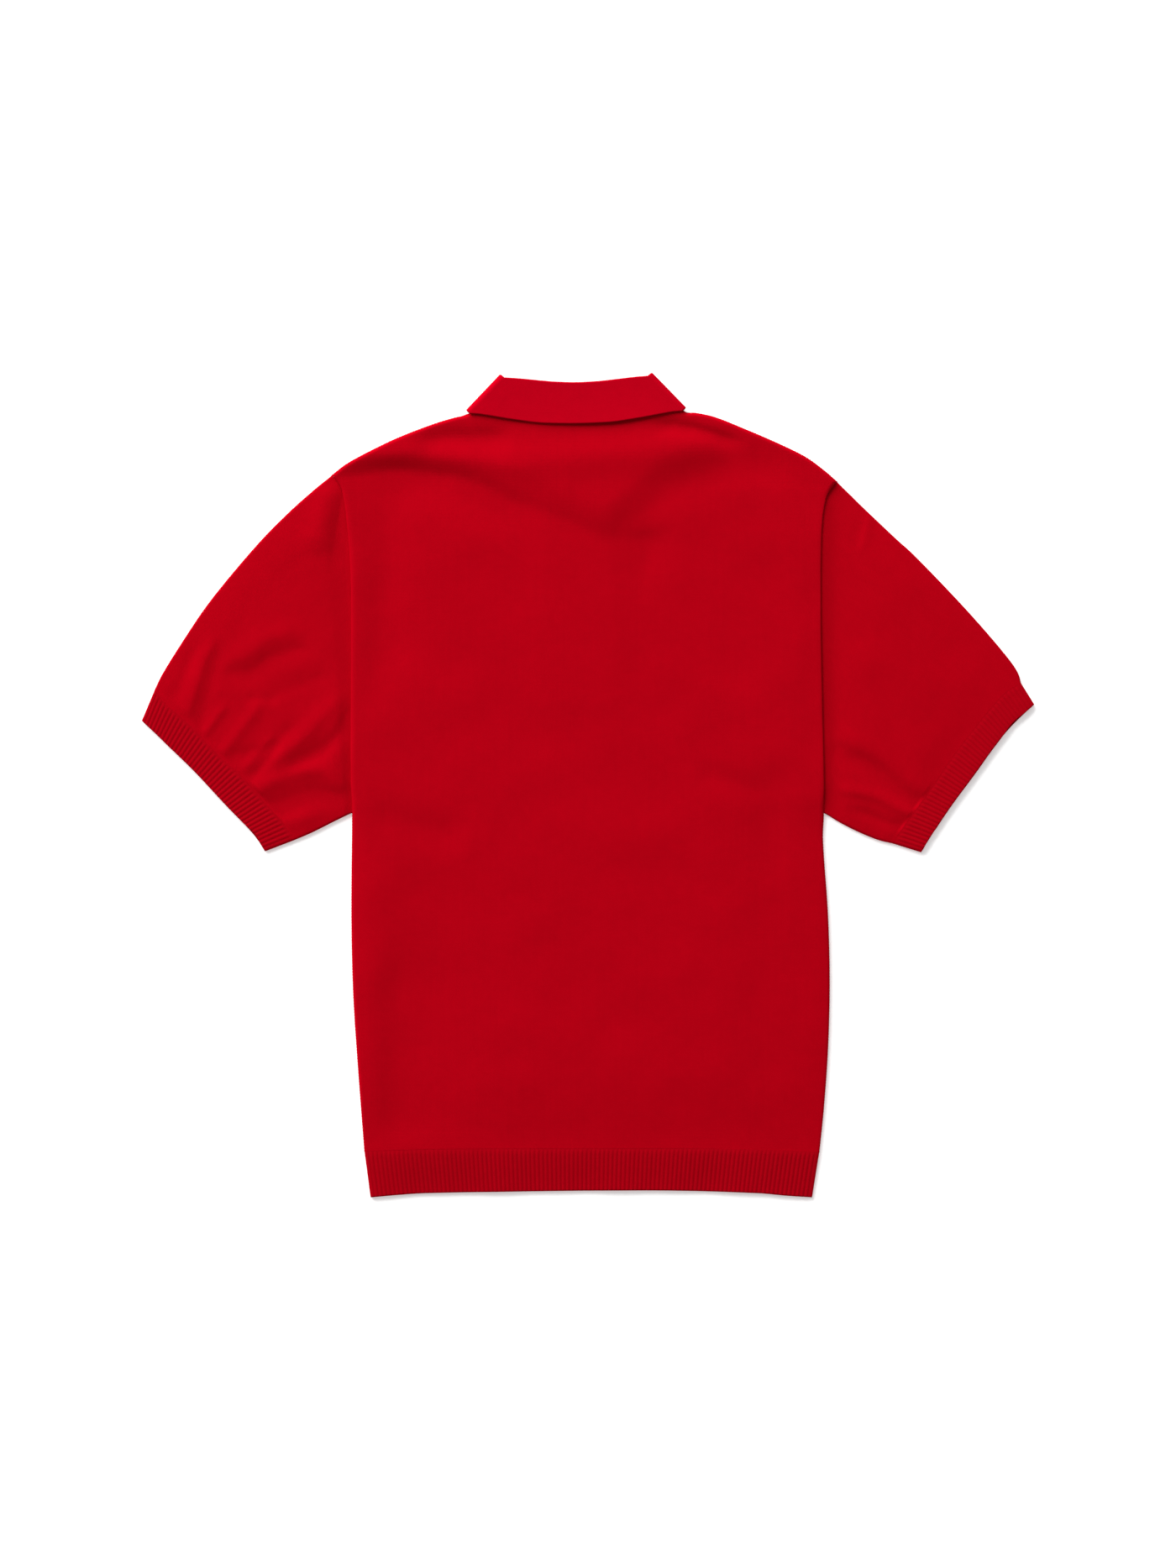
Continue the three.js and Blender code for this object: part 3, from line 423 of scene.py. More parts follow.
def folded(folds, x, y):
    """The height that the folds add at each point."""
    height = np.zeros(np.shape(x))
    for rise, left, right, points in folds:
        ends = dict(zip("xy", np.array(points, float).T))
        line = plan_curve(ends)(np.linspace(0, 1, 14 * len(points)))
        margin = 2.6 * max(left, right)
        (west, south), (east, north) = line.min(0) - margin, line.max(0) + margin
        near = (x > west) & (x < east) & (y > south) & (y < north)
        px, py = x[near], y[near]
        best = np.full(px.shape, np.inf)
        turn, share = np.zeros(px.shape), np.zeros(px.shape)
        for k, ((ax, ay), (bx, by)) in enumerate(zip(line, line[1:])):
            dx, dy = bx - ax, by - ay
            t = np.clip(((px - ax) * dx + (py - ay) * dy) / (dx * dx + dy * dy), 0, 1)
            ox, oy = px - ax - t * dx, py - ay - t * dy
            gap = np.hypot(ox, oy)
            closer = gap < best
            best = np.where(closer, gap, best)
            turn = np.where(closer, (dx * oy - dy * ox) / np.maximum(gap * math.hypot(dx, dy), 1e-9), turn)
            share = np.where(closer, (k + t) / (len(line) - 1), share)
        width = lerp(right, left, smooth(0.5 + 0.5 * turn))
        taper = smooth(np.minimum(share, 1 - share) / 0.27)
        height[near] += rise * np.exp(-((best / width) ** 2)) * taper
    return height


rib_line_y = through(RIB_LINE, "x", "y")
hem_line_y = through(HEM_LINE, "x", "y")
left_edge_x = through(LEFT_EDGE, "y", "x")
right_edge_x = through(RIGHT_EDGE, "y", "x")
left_shoulder_y = through(LEFT_SHOULDER, "x", "y")
right_shoulder_y = through(RIGHT_SHOULDER, "x", "y")
leaf_low_y = through(LEAF_LOW, "out", "y")
raise_low_y = through(RAISE_LOW, "x", "y")
raise_slope = through(RAISE_LOW, "x", "slope")
back_neck_y = through(BACK_NECK, "out", "y")
front_neck_y = through(FRONT_NECK, "out", "y")

LEFT_NECK_X, RIGHT_NECK_X = LEFT_SHOULDER["x"][-1], RIGHT_SHOULDER["x"][0]
LEFT_TIP = LEFT_SHOULDER["x"][0], LEFT_SHOULDER["y"][0]
RIGHT_TIP = RIGHT_SHOULDER["x"][-1], RIGHT_SHOULDER["y"][-1]
UNDERARM_Y = LEFT_UNDERARM["y"][0]
SHOULDER_PATHS = [
    dict(x=np.linspace(rows["x"][0], rows["x"][-1], 50), y=curve(np.linspace(rows["x"][0], rows["x"][-1], 50)))
    for rows, curve in ((LEFT_SHOULDER, left_shoulder_y), (RIGHT_SHOULDER, right_shoulder_y))
]


def ripples(x, y):
    """Slight unevenness of laid cloth."""
    chance = np.random.default_rng(11)
    height = np.zeros(np.shape(x))
    for _ in range(14):
        angle, phase = chance.uniform(0, 2 * math.pi, 2)
        long = chance.uniform(34, 105)
        height += 0.0008 * long * np.sin((x * math.cos(angle) + y * math.sin(angle)) * 2 * math.pi / long + phase)
    return height


def armhole_fade(y, tip):
    """1 along an armhole, falling to 0 at the underarm and at the shoulder."""
    return smooth((y - UNDERARM_Y) / ARMHOLE_LOW_FADE) * smooth((tip - y) / SHOULDER_FADE)


def neck_tilted(x, y):
    return y + NECK_TILT * (x - NECK_X)


def panel_top(neck_y):
    """The top of a body panel: shoulder, neckline, shoulder."""

    def top(x):
        neck = neck_tilted(x, neck_y(np.abs(x - NECK_X)))
        shoulder = np.where(x < NECK_X, left_shoulder_y(x), right_shoulder_y(x))
        return np.where((x <= LEFT_NECK_X) | (x >= RIGHT_NECK_X), shoulder, neck)

    return top


def panel_point(top, across, up):
    """A body panel's points in plan, for a share of the way across and up."""
    low_x = RIB_LINE["x"][0], RIB_LINE["x"][-1]
    low_y = RIB_LINE["y"][0], RIB_LINE["y"][-1]
    left_y, right_y = lerp(low_y[0], LEFT_TIP[1], up), lerp(low_y[1], RIGHT_TIP[1], up)
    low, high = lerp(low_x[0], low_x[1], across), lerp(LEFT_TIP[0], RIGHT_TIP[0], across)
    left_bend = left_edge_x(left_y) - lerp(low_x[0], LEFT_TIP[0], up)
    right_bend = right_edge_x(right_y) - lerp(low_x[1], RIGHT_TIP[0], up)
    bend = left_bend * (1 - across) ** SIDE_REACH + right_bend * across**SIDE_REACH
    return lerp(low, high, up) + bend, lerp(rib_line_y(low), top(high), up)


def leaf_lift(x, y):
    """How far the front collar leaves lift what lies on them."""
    low = neck_tilted(x, leaf_low_y(np.abs(x - NECK_X)))
    return LEAF_LIFT * smooth((y - low + LEAF_SLOPE) / LEAF_SLOPE)


def leaf_room(x, y, shoulder):
    """The room that the back leaves for the collar leaves, which eases off over a wider strip."""
    aside = smooth((LEAF_REACH - np.abs(x - NECK_X)) / LEAF_REACH_EASE)
    above = smooth((y - LEAF_FOOT) / LEAF_FOOT_EASE)
    return np.maximum(leaf_lift(x, y), LEAF_LIFT * (aside * above) * smooth(shoulder / LEAF_SHOULDER_EASE))


def button_lift(x, y):
    """How far the buttons lift the bands that lie on them."""
    lifts = [
        (BUTTON_THICK + SEAM_GAP)
        * smooth((BUTTON_REACH - np.hypot(x - PLACKET_X, y - at)) / (BUTTON_REACH - BUTTON_BED))
        for at in BUTTON_Y
    ]
    return np.max(lifts, axis=0)


def placket_stack(x, y):
    """The least height of the back's underside over the placket and its buttons."""
    beside = PLACKET_HALF + PLACKET_CLEAR + PLACKET_STEP - np.abs(x - PLACKET_X)
    above = y - PLACKET_LOW + PLACKET_CLEAR + PLACKET_STEP
    share = smooth(beside / PLACKET_STEP) * smooth(above / PLACKET_STEP)
    return OVER_FRONT + (OVER_FRONT + BUTTON_THICK + 2 * SEAM_GAP) * share


def back_underside(x, y, depth):
    """The height of the back panel's underside."""
    from_left, from_right = x - left_edge_x(y), right_edge_x(y) - x
    at_armhole = smooth((y - UNDERARM_Y + UNDERARM_EASE) / (2 * UNDERARM_EASE))
    left_side = sloped(from_left, SIDE_SLOPE, SIDE_LIFT)
    left = lerp(left_side, rolled(from_left, LEFT_ARMHOLE_ROLL), at_armhole)
    right_side = sloped(from_right, RIGHT_SIDE_SLOPE, RIGHT_SIDE_LIFT)
    right = lerp(right_side, rolled(from_right, RIGHT_ARMHOLE_ROLL), at_armhole)
    shoulder = np.minimum(*(distance_to_path(path, x, y) for path in SHOULDER_PATHS))
    roll = left * right * rolled(shoulder, SHOULDER_ROLL)
    above_rib = y - rib_line_y(x)
    raise_by = NECK_RAISE * smooth((y - raise_low_y(x)) / (1.7 * raise_slope(x)) + 0.5)
    lift = leaf_room(x, y, shoulder)
    folds = (folded(BACK_FOLDS, x, y) + ripples(x, y)) * smooth(above_rib / HEM_FOLD_FADE)
    air = BODY_AIR + BELOW_COLLAR_AIR * smooth((312 - y) / 50)
    full = lerp(HEM_AIR, air, smooth(above_rib / HEM_AIR_EASE)) + raise_by - lift + depth * folds
    left_seam = LEFT_SEAM_AIR * (1 - (1 - armhole_fade(y, LEFT_TIP[1])) ** 2)
    right_seam = RIGHT_SEAM_AIR * (1 - (1 - armhole_fade(y, RIGHT_TIP[1])) ** 2)
    seam = np.where(x < 0, left_seam, right_seam)
    raised = OVER_FRONT + lift + lerp(seam, softly_over(full, 0.3), roll)
    return softly_over(raised, placket_stack(x, y) * roll, 1.5)


# Meshes


class Skin:
    """The points and faces of a cloth wall, with each point's place on the cloth in metres."""

    def __init__(self):
        self.points, self.places, self.faces, self.marks = [], [], [], []
        self.count = 0

    def sheet(self, grid, places, ring=False, outward=True, marks=None):
        rows, width = grid.shape[:2]
        numbers = self.count + np.arange(rows * width).reshape(rows, width)
        self.count += rows * width
        self.points.append(grid.reshape(-1, 3))
        self.places.append(np.asarray(places, float).reshape(-1, 2))
        self.marks.append(np.zeros((rows * width, 2)) if marks is None else marks.reshape(-1, 2))
        wide = np.concatenate([numbers, numbers[:, :1]], 1) if ring else numbers
        quads = np.stack([wide[:-1, :-1], wide[:-1, 1:], wide[1:, 1:], wide[1:, :-1]], -1).reshape(-1, 4)
        if not outward:
            quads = quads[:, ::-1]
        self.faces.extend(quads.tolist())
        return numbers

    def strip(self, a, b):
        """Joins two lines of points that may differ in number."""
        points = np.concatenate(self.points)
        a, b = list(a), list(b)
        i = j = 0
        while i + 1 < len(a) or j + 1 < len(b):
            step_a = i + 1 < len(a)
            if step_a and j + 1 < len(b):
                step_a = np.sum((points[a[i + 1]] - points[b[j]]) ** 2) <= np.sum(
                    (points[a[i]] - points[b[j + 1]]) ** 2
                )
            if step_a:
                self.faces.append([a[i + 1], a[i], b[j]])
                i += 1
            else:
                self.faces.append([a[i], b[j], b[j + 1]])
                j += 1

    def mesh(self, name, flip=False):
        """The mesh, with its faces pointing out, sharp at its rims and smooth elsewhere."""
        points = np.concatenate(self.points) * MM
        faces = [face[::-1] for face in self.faces] if flip else self.faces
        mesh = bpy.data.meshes.new(name)
        mesh.from_pydata(points.tolist(), [], faces)
        loops = np.zeros(len(mesh.loops), np.int32)
        mesh.loops.foreach_get("vertex_index", loops)
        places = np.concatenate(self.places) * MM
        mesh.uv_layers.new(name="cloth").data.foreach_set("uv", places[loops].astype(np.float32).ravel())
        marks = np.concatenate(self.marks)
        for k, mark in enumerate(("rib_place", "rib_reach")):
            if np.any(marks[:, k]):
                layer = mesh.attributes.new(mark, "FLOAT", "POINT")
                layer.data.foreach_set("value", marks[:, k].astype(np.float32))
        mesh.shade_smooth()
        mesh.set_sharp_from_angle(angle=math.radians(62))
        mesh.update()
        return mesh


def volume_of(skin):
    points = np.concatenate(skin.points)
    total = 0.0
    for size in (3, 4):
        faces = np.array([f for f in skin.faces if len(f) == size])
        for k in range(1, size - 1):
            if len(faces):
                a, b, c = points[faces[:, 0]], points[faces[:, k]], points[faces[:, k + 1]]
                total += np.einsum("ij,ij->i", a, np.cross(b, c)).sum()
    return total


def panel_wall(name, outer, inner, places, inner_places, marks=None):
    """A wall between an outer and an inner grid, closed along its four edges."""
    skin = Skin()
    out = skin.sheet(outer, places, marks=marks)
    into = skin.sheet(inner, inner_places, outward=False)

    def border(n):
        return n[0], n[:, -1], n[-1][::-1], n[::-1, 0]

    for side, other in zip(border(out), border(into)):
        skin.strip(side, other)
    return skin.mesh(name, flip=volume_of(skin) < 0)


def tube_wall(name, outer, inner, places, inner_places, marks=None):
    """A tube's wall between two grids of rings, closed at its two ends."""
    skin = Skin()
    out = skin.sheet(outer, places, ring=True, marks=marks)
    into = skin.sheet(inner, inner_places, ring=True, outward=False)

    def loop(ring):
        return [*ring, ring[0]]

    skin.strip(loop(out[0]), loop(into[0]))
    skin.strip(loop(out[-1])[::-1], loop(into[-1])[::-1])
    return skin.mesh(name, flip=volume_of(skin) < 0)


def eased(count, pull=0.72):
    """Shares from 0 to 1, closer together towards both ends."""
    t = np.linspace(0, 1, count)
    return t - pull * np.sin(2 * np.pi * t) / (2 * np.pi)


def placed(name, data):
    """A new object in the scene."""
    thing = bpy.data.objects.new(name, data)
    bpy.context.scene.collection.objects.link(thing)
    return thing


def piece_of(mesh, material):
    piece = placed(mesh.name, mesh)
    mesh.materials.append(material)
    return piece


def settle(piece, slot, *nodes):
    """Puts a piece in the place of its solids, on the shirt's one body."""
    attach(piece, "root")
    if nodes:
        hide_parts(*nodes)
    return piece


# Materials and node trees


class Value:
    """A node's output that takes part in sums, each of which adds its Math nodes."""

    def __init__(self, graph, socket):
        self.graph, self.socket = graph, socket

    def math(self, operation, *others):
        return self.graph.node("ShaderNodeMath", {"operation": operation}, dict(enumerate((self, *others))))

    def __add__(self, other):
        return self.math("ADD", other)

    __radd__ = __add__

    def __mul__(self, other):
        return self.math("MULTIPLY", other)

    __rmul__ = __mul__

    def __sub__(self, other):
        return self.math("SUBTRACT", other)

    def __rsub__(self, other):
        return (self * -1) + other

    def __truediv__(self, other):
        return self.math("DIVIDE", other)

    def power(self, exponent):
        return self.math("POWER", exponent)

    def wave(self):
        """From 0 to 1 and back for each whole number."""
        return (self * (2 * math.pi)).math("COSINE") * -0.5 + 0.5

    def fraction(self):
        return self.math("FRACT")

    def size(self):
        return self.math("ABSOLUTE")


class Graph:
    """Adds nodes to a tree."""

    def __init__(self, tree):
        self.tree = tree

    def put(self, socket, value):
        if isinstance(value, Value):
            self.tree.links.new(value.socket, socket)
        else:
            socket.default_value = value

    def add(self, kind, settings=None, sockets=None):
        node = self.tree.nodes.new(kind)
        for key, value in (settings or {}).items():
            setattr(node, key, value)
        for key, value in (sockets or {}).items():
            self.put(node.inputs[key], value)
        return node

    def node(self, kind, settings=None, sockets=None, output=0):
        return Value(self, self.add(kind, settings, sockets).outputs[output])


def blank_material(name):
    """A material with an empty node tree, and the graph that fills it."""
    material = bpy.data.materials.new(name)
    material.use_nodes = True
    material.node_tree.nodes.clear()
    return material, Graph(material.node_tree)


def tinted(g, colour, shade):
    """A colour times a shade."""
    tint = g.node("ShaderNodeCombineXYZ", sockets={k: shade for k in range(3)})
    return g.node("ShaderNodeVectorMath", {"operation": "MULTIPLY"}, {0: tint, 1: tuple(colour)})


def surfaced(g, sockets):
    """Ends a graph with one shader."""
    shader = g.node("ShaderNodeBsdfPrincipled", sockets=sockets)
    g.add("ShaderNodeOutputMaterial", sockets={"Surface": shader})


def knit_material(name, colour, wale, course, relief, streak, mottle, roughness, sheen, rib_valley_painted_shade=0.0):
    """A fine knit: upright wales of small V stitches with painted shade between their legs, a streaky dye, a soft
    bloom and, for ribs, painted shade in the rib valleys.
    """
    material, g = blank_material(name)
    place = g.node("ShaderNodeUVMap", {"uv_map": "cloth"})
    parts = g.add("ShaderNodeSeparateXYZ", sockets={0: place})
    u, v = (Value(g, parts.outputs[k]) for k in (0, 1))

    middle = ((u / (wale * MM)).fraction() - 0.5).size() * 2
    leg = 1 - ((middle - 0.5).size() * 2).power(2)
    stitch = leg * (0.45 + 0.55 * (v / (course * MM) + middle * 0.5).wave())

    def noise(scale, detail, stretch=(1, 1, 1)):
        at = g.node("ShaderNodeMapping", sockets={"Vector": place, "Scale": stretch})
        return g.node(
            "ShaderNodeTexNoise",
            {"noise_dimensions": "3D"},
            {"Vector": at, "Scale": scale, "Detail": detail, "Roughness": 0.55},
        )

    streaks = noise(420, 2, (1, 0.03, 1)) - 0.5
    patches = noise(16, 3) - 0.5
    specks = noise(110, 2) - 0.5
    fibres = noise(2600, 2) - 0.5
    # The stitch term paints shade between the stitch legs, where the bump is low.
    shade = 1 + streak * streaks + mottle * patches + 0.1 * specks + 0.1 * fibres + 0.08 * (stitch - 0.5)
    if rib_valley_painted_shade:
        # Painted shade: the rib valleys are darkened, away from the crests.
        crest = g.node("ShaderNodeAttribute", {"attribute_name": "rib_crest"}, output="Fac")
        shade = shade * (1 - rib_valley_painted_shade * (1 - crest))
    height = stitch * relief + fibres * (relief * 0.5)
    bump = g.node("ShaderNodeBump", sockets={"Strength": 0.6, "Distance": MM, "Height": height})
    surfaced(
        g,
        {
            "Base Color": tinted(g, colour, shade),
            "Roughness": roughness + 0.06 * patches,
            "Normal": bump,
            "Specular IOR Level": 0.0,
            "Sheen Weight": sheen,
            "Sheen Roughness": 0.4,
            "Sheen Tint": (0.9, 0.004, 0.02, 1.0),
        },
    )
    return material


def button_material(colour):
    """Dyed resin with a faint cloudy grain, polished."""
    material, g = blank_material("dyed_resin")
    place = g.node("ShaderNodeTexCoord", output="Object")
    cloud = g.node("ShaderNodeTexNoise", sockets={"Vector": place, "Scale": 320, "Detail": 4}) - 0.5
    fine = g.node("ShaderNodeTexNoise", sockets={"Vector": place, "Scale": 3000, "Detail": 2}) - 0.5
    shade = 1 + 0.5 * cloud
    bump = g.node("ShaderNodeBump", sockets={"Strength": 0.2, "Distance": 0.0001, "Height": fine})
    surfaced(
        g,
        {
            "Base Color": tinted(g, colour, shade),
            "Roughness": 0.22 + 0.1 * fine,
            "Normal": bump,
            "Coat Weight": 0.3,
            "Coat Roughness": 0.1,
        },
    )
    return material


def thread_material(colour):
    """Twisted sewing thread, with painted shade in the grooves of its twist."""
    material, g = blank_material("seam_thread")
    place = g.node("ShaderNodeTexCoord", output="Object")
    twist = g.node(
        "ShaderNodeTexWave",
        {"wave_type": "BANDS", "bands_direction": "DIAGONAL"},
        {"Vector": place, "Scale": 900.0, "Distortion": 1.5},
        output="Fac",
    )
    # Paints shade in the twist's grooves, where the bump is low.
    shade = 0.82 + 0.3 * twist
    bump = g.node("ShaderNodeBump", sockets={"Strength": 0.4, "Distance": 0.0001, "Height": twist})
    surfaced(
        g,
        {
            "Base Color": tinted(g, colour, shade),
            "Roughness": 0.75,
            "Normal": bump,
            "Specular IOR Level": 0.15,
            "Specular Tint": (1.0, 0.2, 0.2, 1.0),
        },
    )
    return material


made_materials = {}


def named_material(name):
    """The shirt's materials, each made once from the colours in the panel."""
    if name not in made_materials:
        made_materials[name] = make_material(name)
    return made_materials[name]


def make_material(name):
    dye = bpy.context.scene.shirt_colours
    if name == "button_resin":
        return button_material(dye.button)
    if name == "seam_thread":
        return thread_material(dye.thread)
    knits = {
        "body_knit": (dye.body, 1.35, 1.0, 0.16, 0.06, 0.10, 0.88, 0.16),
        "sleeve_knit": (dye.sleeve, 1.35, 1.0, 0.16, 0.06, 0.10, 0.88, 0.16),
        # The rib knit's last value paints shade in the rib valleys.
        "rib_knit": (dye.rib, 1.0, 1.0, 0.12, 0.05, 0.06, 0.9, 0.16, 0.1),
        "collar_knit": (dye.collar, 1.1, 0.8, 0.10, 0.05, 0.06, 0.86, 0.16),
        "placket_knit": (dye.body, 1.1, 0.8, 0.10, 0.05, 0.06, 0.86, 0.16),
    }
    return knit_material(f"{name}_cloth", *knits[name])


def group_input(tree, name, kind, default=None):
    socket = tree.interface.new_socket(name, in_out="INPUT", socket_type=kind)
    if default is not None:
        socket.default_value = default
    return socket.identifier


def rib_tree():
    """Raises the cloth in ribs: each point moves up by its reach where its place is on a crest."""
    tree = bpy.data.node_groups.new("knitted ribs", "GeometryNodeTree")
    tree.interface.new_socket("Cloth", in_out="OUTPUT", socket_type="NodeSocketGeometry")
    keys = {
        "cloth": group_input(tree, "Cloth", "NodeSocketGeometry"),
        "relief": group_input(tree, "Relief", "NodeSocketFloat", 0.0006),
        "fullness": group_input(tree, "Fullness", "NodeSocketFloat", 0.6),
        "material": group_input(tree, "Material", "NodeSocketMaterial"),
    }
    g = Graph(tree)
    given = g.add("NodeGroupInput")
    cloth, relief, fullness, material = (Value(g, given.outputs[k]) for k in range(4))

    def read(name):
        return g.node("GeometryNodeInputNamedAttribute", {"data_type": "FLOAT"}, {"Name": name})

    crest = read("rib_place").wave().power(fullness)
    reach = read("rib_reach")
    hollow = 1 - crest
    lift = relief * (crest * reach.math("MAXIMUM", 0) + hollow * (reach * -1).math("MAXIMUM", 0))
    offset = g.node("ShaderNodeCombineXYZ", sockets={"Z": lift})
    moved = g.node("GeometryNodeSetPosition", sockets={"Geometry": cloth, "Offset": offset})
    # Stores how near each point is to a crest; the rib material paints shade in the valleys from it.
    marked = g.node(
        "GeometryNodeStoreNamedAttribute",
        {"data_type": "FLOAT", "domain": "POINT"},
        {"Geometry": moved, "Name": "rib_crest", "Value": 1 - hollow * reach.size()},
    )
    real = g.node("GeometryNodeRealizeInstances", sockets={"Geometry": marked})
    done = g.node("GeometryNodeSetMaterial", sockets={"Geometry": real, "Material": material})
    g.add("NodeGroupOutput", sockets={0: done})
    return tree, keys


def stitch_tree():
    """Lays a row of small stitches along a line, each turned to follow it."""
    tree = bpy.data.node_groups.new("row of stitches", "GeometryNodeTree")
    tree.interface.new_socket("Stitches", in_out="OUTPUT", socket_type="NodeSocketGeometry")
    keys = {
        "line": group_input(tree, "Line", "NodeSocketGeometry"),
        "pitch": group_input(tree, "Pitch", "NodeSocketFloat", 0.003),
        "length": group_input(tree, "Stitch length", "NodeSocketFloat", 0.0024),
        "thick": group_input(tree, "Thread thickness", "NodeSocketFloat", 0.0005),
        "slant": group_input(tree, "Slant", "NodeSocketFloat", 0.0),
        "material": group_input(tree, "Material", "NodeSocketMaterial"),
    }
    g = Graph(tree)
    given = g.add("NodeGroupInput")
    line, pitch, length, thick, slant, material = (Value(g, given.outputs[k]) for k in range(6))
    curve = g.node("GeometryNodeMeshToCurve", sockets={"Mesh": line})
    spots = g.add("GeometryNodeCurveToPoints", {"mode": "LENGTH"}, {"Curve": curve, "Length": pitch})
    bead = g.node(
        "GeometryNodeMeshUVSphere", sockets={"Segments": 6, "Rings": 5, "Radius": 0.5}
    )
    size = g.node("ShaderNodeCombineXYZ", sockets={"X": thick, "Y": thick, "Z": length})
    shaped = g.node("GeometryNodeTransform", sockets={"Geometry": bead, "Scale": size})
    turn = g.node("ShaderNodeCombineXYZ", sockets={"Z": slant})
    tilted = g.node(
        "FunctionNodeRotateRotation",
        {"rotation_space": "GLOBAL"},
        {0: Value(g, spots.outputs["Rotation"]), 1: turn},
    )
    laid = g.node(
        "GeometryNodeInstanceOnPoints",
        sockets={"Points": Value(g, spots.outputs["Points"]), "Instance": shaped, "Rotation": tilted},
    )
    real = g.node("GeometryNodeRealizeInstances", sockets={"Geometry": laid})
    done = g.node("GeometryNodeSetMaterial", sockets={"Geometry": real, "Material": material})
    g.add("NodeGroupOutput", sockets={0: done})
    return tree, keys


def tree_of(maker):
    """A node tree and its inputs, made once."""
    if maker.__name__ not in made_trees:
        made_trees[maker.__name__] = maker()
    return made_trees[maker.__name__]


made_trees = {}


def grown(source, maker, **inputs):
    """A plain mesh piece from a source object and a node tree with these inputs."""
    tree, keys = tree_of(maker)
    modifier = source.modifiers.new("grown", "NODES")
    modifier.node_group = tree
    for key, value in inputs.items():
        modifier[keys[key]] = value
    depsgraph = bpy.context.evaluated_depsgraph_get()
    mesh = bpy.data.meshes.new_from_object(source.evaluated_get(depsgraph), depsgraph=depsgraph)
    source.modifiers.remove(modifier)
    old = source.data
    source.data = mesh
    bpy.data.meshes.remove(old)
    mesh.name = source.name
    return source


def line_object(name, paths):
    """An object of open lines, each a list of points in millimetres."""
    points, edges = [], []
    for path in paths:
        start = len(points)
        points.extend((np.asarray(path, float) * MM).tolist())
        edges.extend((start + i, start + i + 1) for i in range(len(path) - 1))
    mesh = bpy.data.meshes.new(name)
    mesh.from_pydata(points, edges, [])
    return placed(name, mesh)


def stitches(name, paths, pitch, length, thick, slant=0.0):
    piece = grown(
        line_object(name, paths),
        stitch_tree,
        pitch=pitch * MM,
        length=length * MM,
        thick=thick * MM,
        slant=slant,
        material=named_material("seam_thread"),
    )
    piece.data.shade_smooth()
    return piece


# Pieces


def cut_of(grid, ring=False):
    """A cloth's cut from its grid: its longest row, its longest column and its area, in metres."""
    wide = np.concatenate([grid, grid[:, :1]], 1) if ring else grid
    row = np.linalg.norm(np.diff(wide, axis=1), axis=-1).sum(1).max()
    column = np.linalg.norm(np.diff(wide, axis=0), axis=-1).sum(0).max()
    a, b = wide[1:, 1:] - wide[:-1, :-1], wide[1:, :-1] - wide[:-1, 1:]
    area = np.linalg.norm(np.cross(a, b), axis=-1).sum() / 2
    return float(row) * MM, float(column) * MM, float(area) * MM * MM


def lay(piece, slot, grid, rests_on, *nodes, ring=False):
    """Puts a laid cloth in the place of its solid and works out its cut."""
    settle(piece, slot, *nodes)
    width, length, area = cut_of(grid, ring)
    return piece


def body_grid(neck_y, columns, rows):
    across, up = np.meshgrid(columns, rows)
    x, y = panel_point(panel_top(neck_y), across, up)
    return across, up, x, y


def seam_nearness(x, y, across, up):
    """1 at the side and shoulder seams, and 0 a little way in from them."""
    side = np.where(y > UNDERARM_Y, RIM_ROUND, np.minimum(across, 1 - across) * BODY_WIDTH)
    top = np.where(np.abs(x - NECK_X) < 88, RIM_ROUND, (1 - up) * BODY_LENGTH)
    return 1 - rolled(np.minimum(side, top), RIM_ROUND)


def armhole_nearness(y, across):
    side = np.where(y > UNDERARM_Y, np.minimum(across, 1 - across) * BODY_WIDTH, ARMHOLE_ROUND)
    return 1 - rolled(side, ARMHOLE_ROUND)


class SHIRT_OT_back(bpy.types.Operator):
    """Builds the back panel, which lies uppermost"""

    bl_idname = "shirt.back"
    bl_label = "Back panel"

    def execute(self, context):
        depth = context.scene.shirt_sizes.fold_depth
        across, up, x, y = body_grid(back_neck_y, eased(210), eased(260, 0.6))
        near = seam_nearness(x, y, across, up)
        low = back_underside(x, y, depth) - 0.25 * near
        thick = WALL * (1 - 0.5 * near - 0.1 * armhole_nearness(y, across))
        outer = np.stack([x - self.lapped(across, y), y, low + thick], -1)
        across, up, ix, iy = body_grid(back_neck_y, eased(70), eased(90, 0.6))
        under = back_underside(ix, iy, depth) - 0.25 * seam_nearness(ix, iy, across, up)
        inner = np.stack([ix - self.lapped(across, iy), iy, under], -1)
        mesh = panel_wall("back_panel_cloth", outer, inner, outer[..., :2], inner[..., :2])
        piece = piece_of(mesh, named_material("body_knit"))
        lay(piece, "body_knit", outer, ["front_panel_cloth", "placket_under_cloth"], "back_panel")
        return {"FINISHED"}

    @staticmethod
    def lapped(across, y):
        """How far the panel's edges lie over the sleeves, towards the left."""
        left = (1 - across) ** 30 * armhole_fade(y, LEFT_TIP[1]) ** 2
        right = across**30 * armhole_fade(y, RIGHT_TIP[1]) ** 2
        return LEFT_LAP * left - RIGHT_LAP * right


def carved(piece, cutter):
    """Takes the cutter's shape out of a piece."""
    modifier = piece.modifiers.new("carved", "BOOLEAN")
    modifier.operation = "DIFFERENCE"
    modifier.solver = "EXACT"
    modifier.object = cutter
    depsgraph = bpy.context.evaluated_depsgraph_get()
    mesh = bpy.data.meshes.new_from_object(piece.evaluated_get(depsgraph), depsgraph=depsgraph)
    piece.modifiers.remove(modifier)
    old, shape = piece.data, cutter.data
    piece.data = mesh
    bpy.data.objects.remove(cutter)
    bpy.data.meshes.remove(old)
    bpy.data.meshes.remove(shape)
    mesh.name = piece.name
    return piece


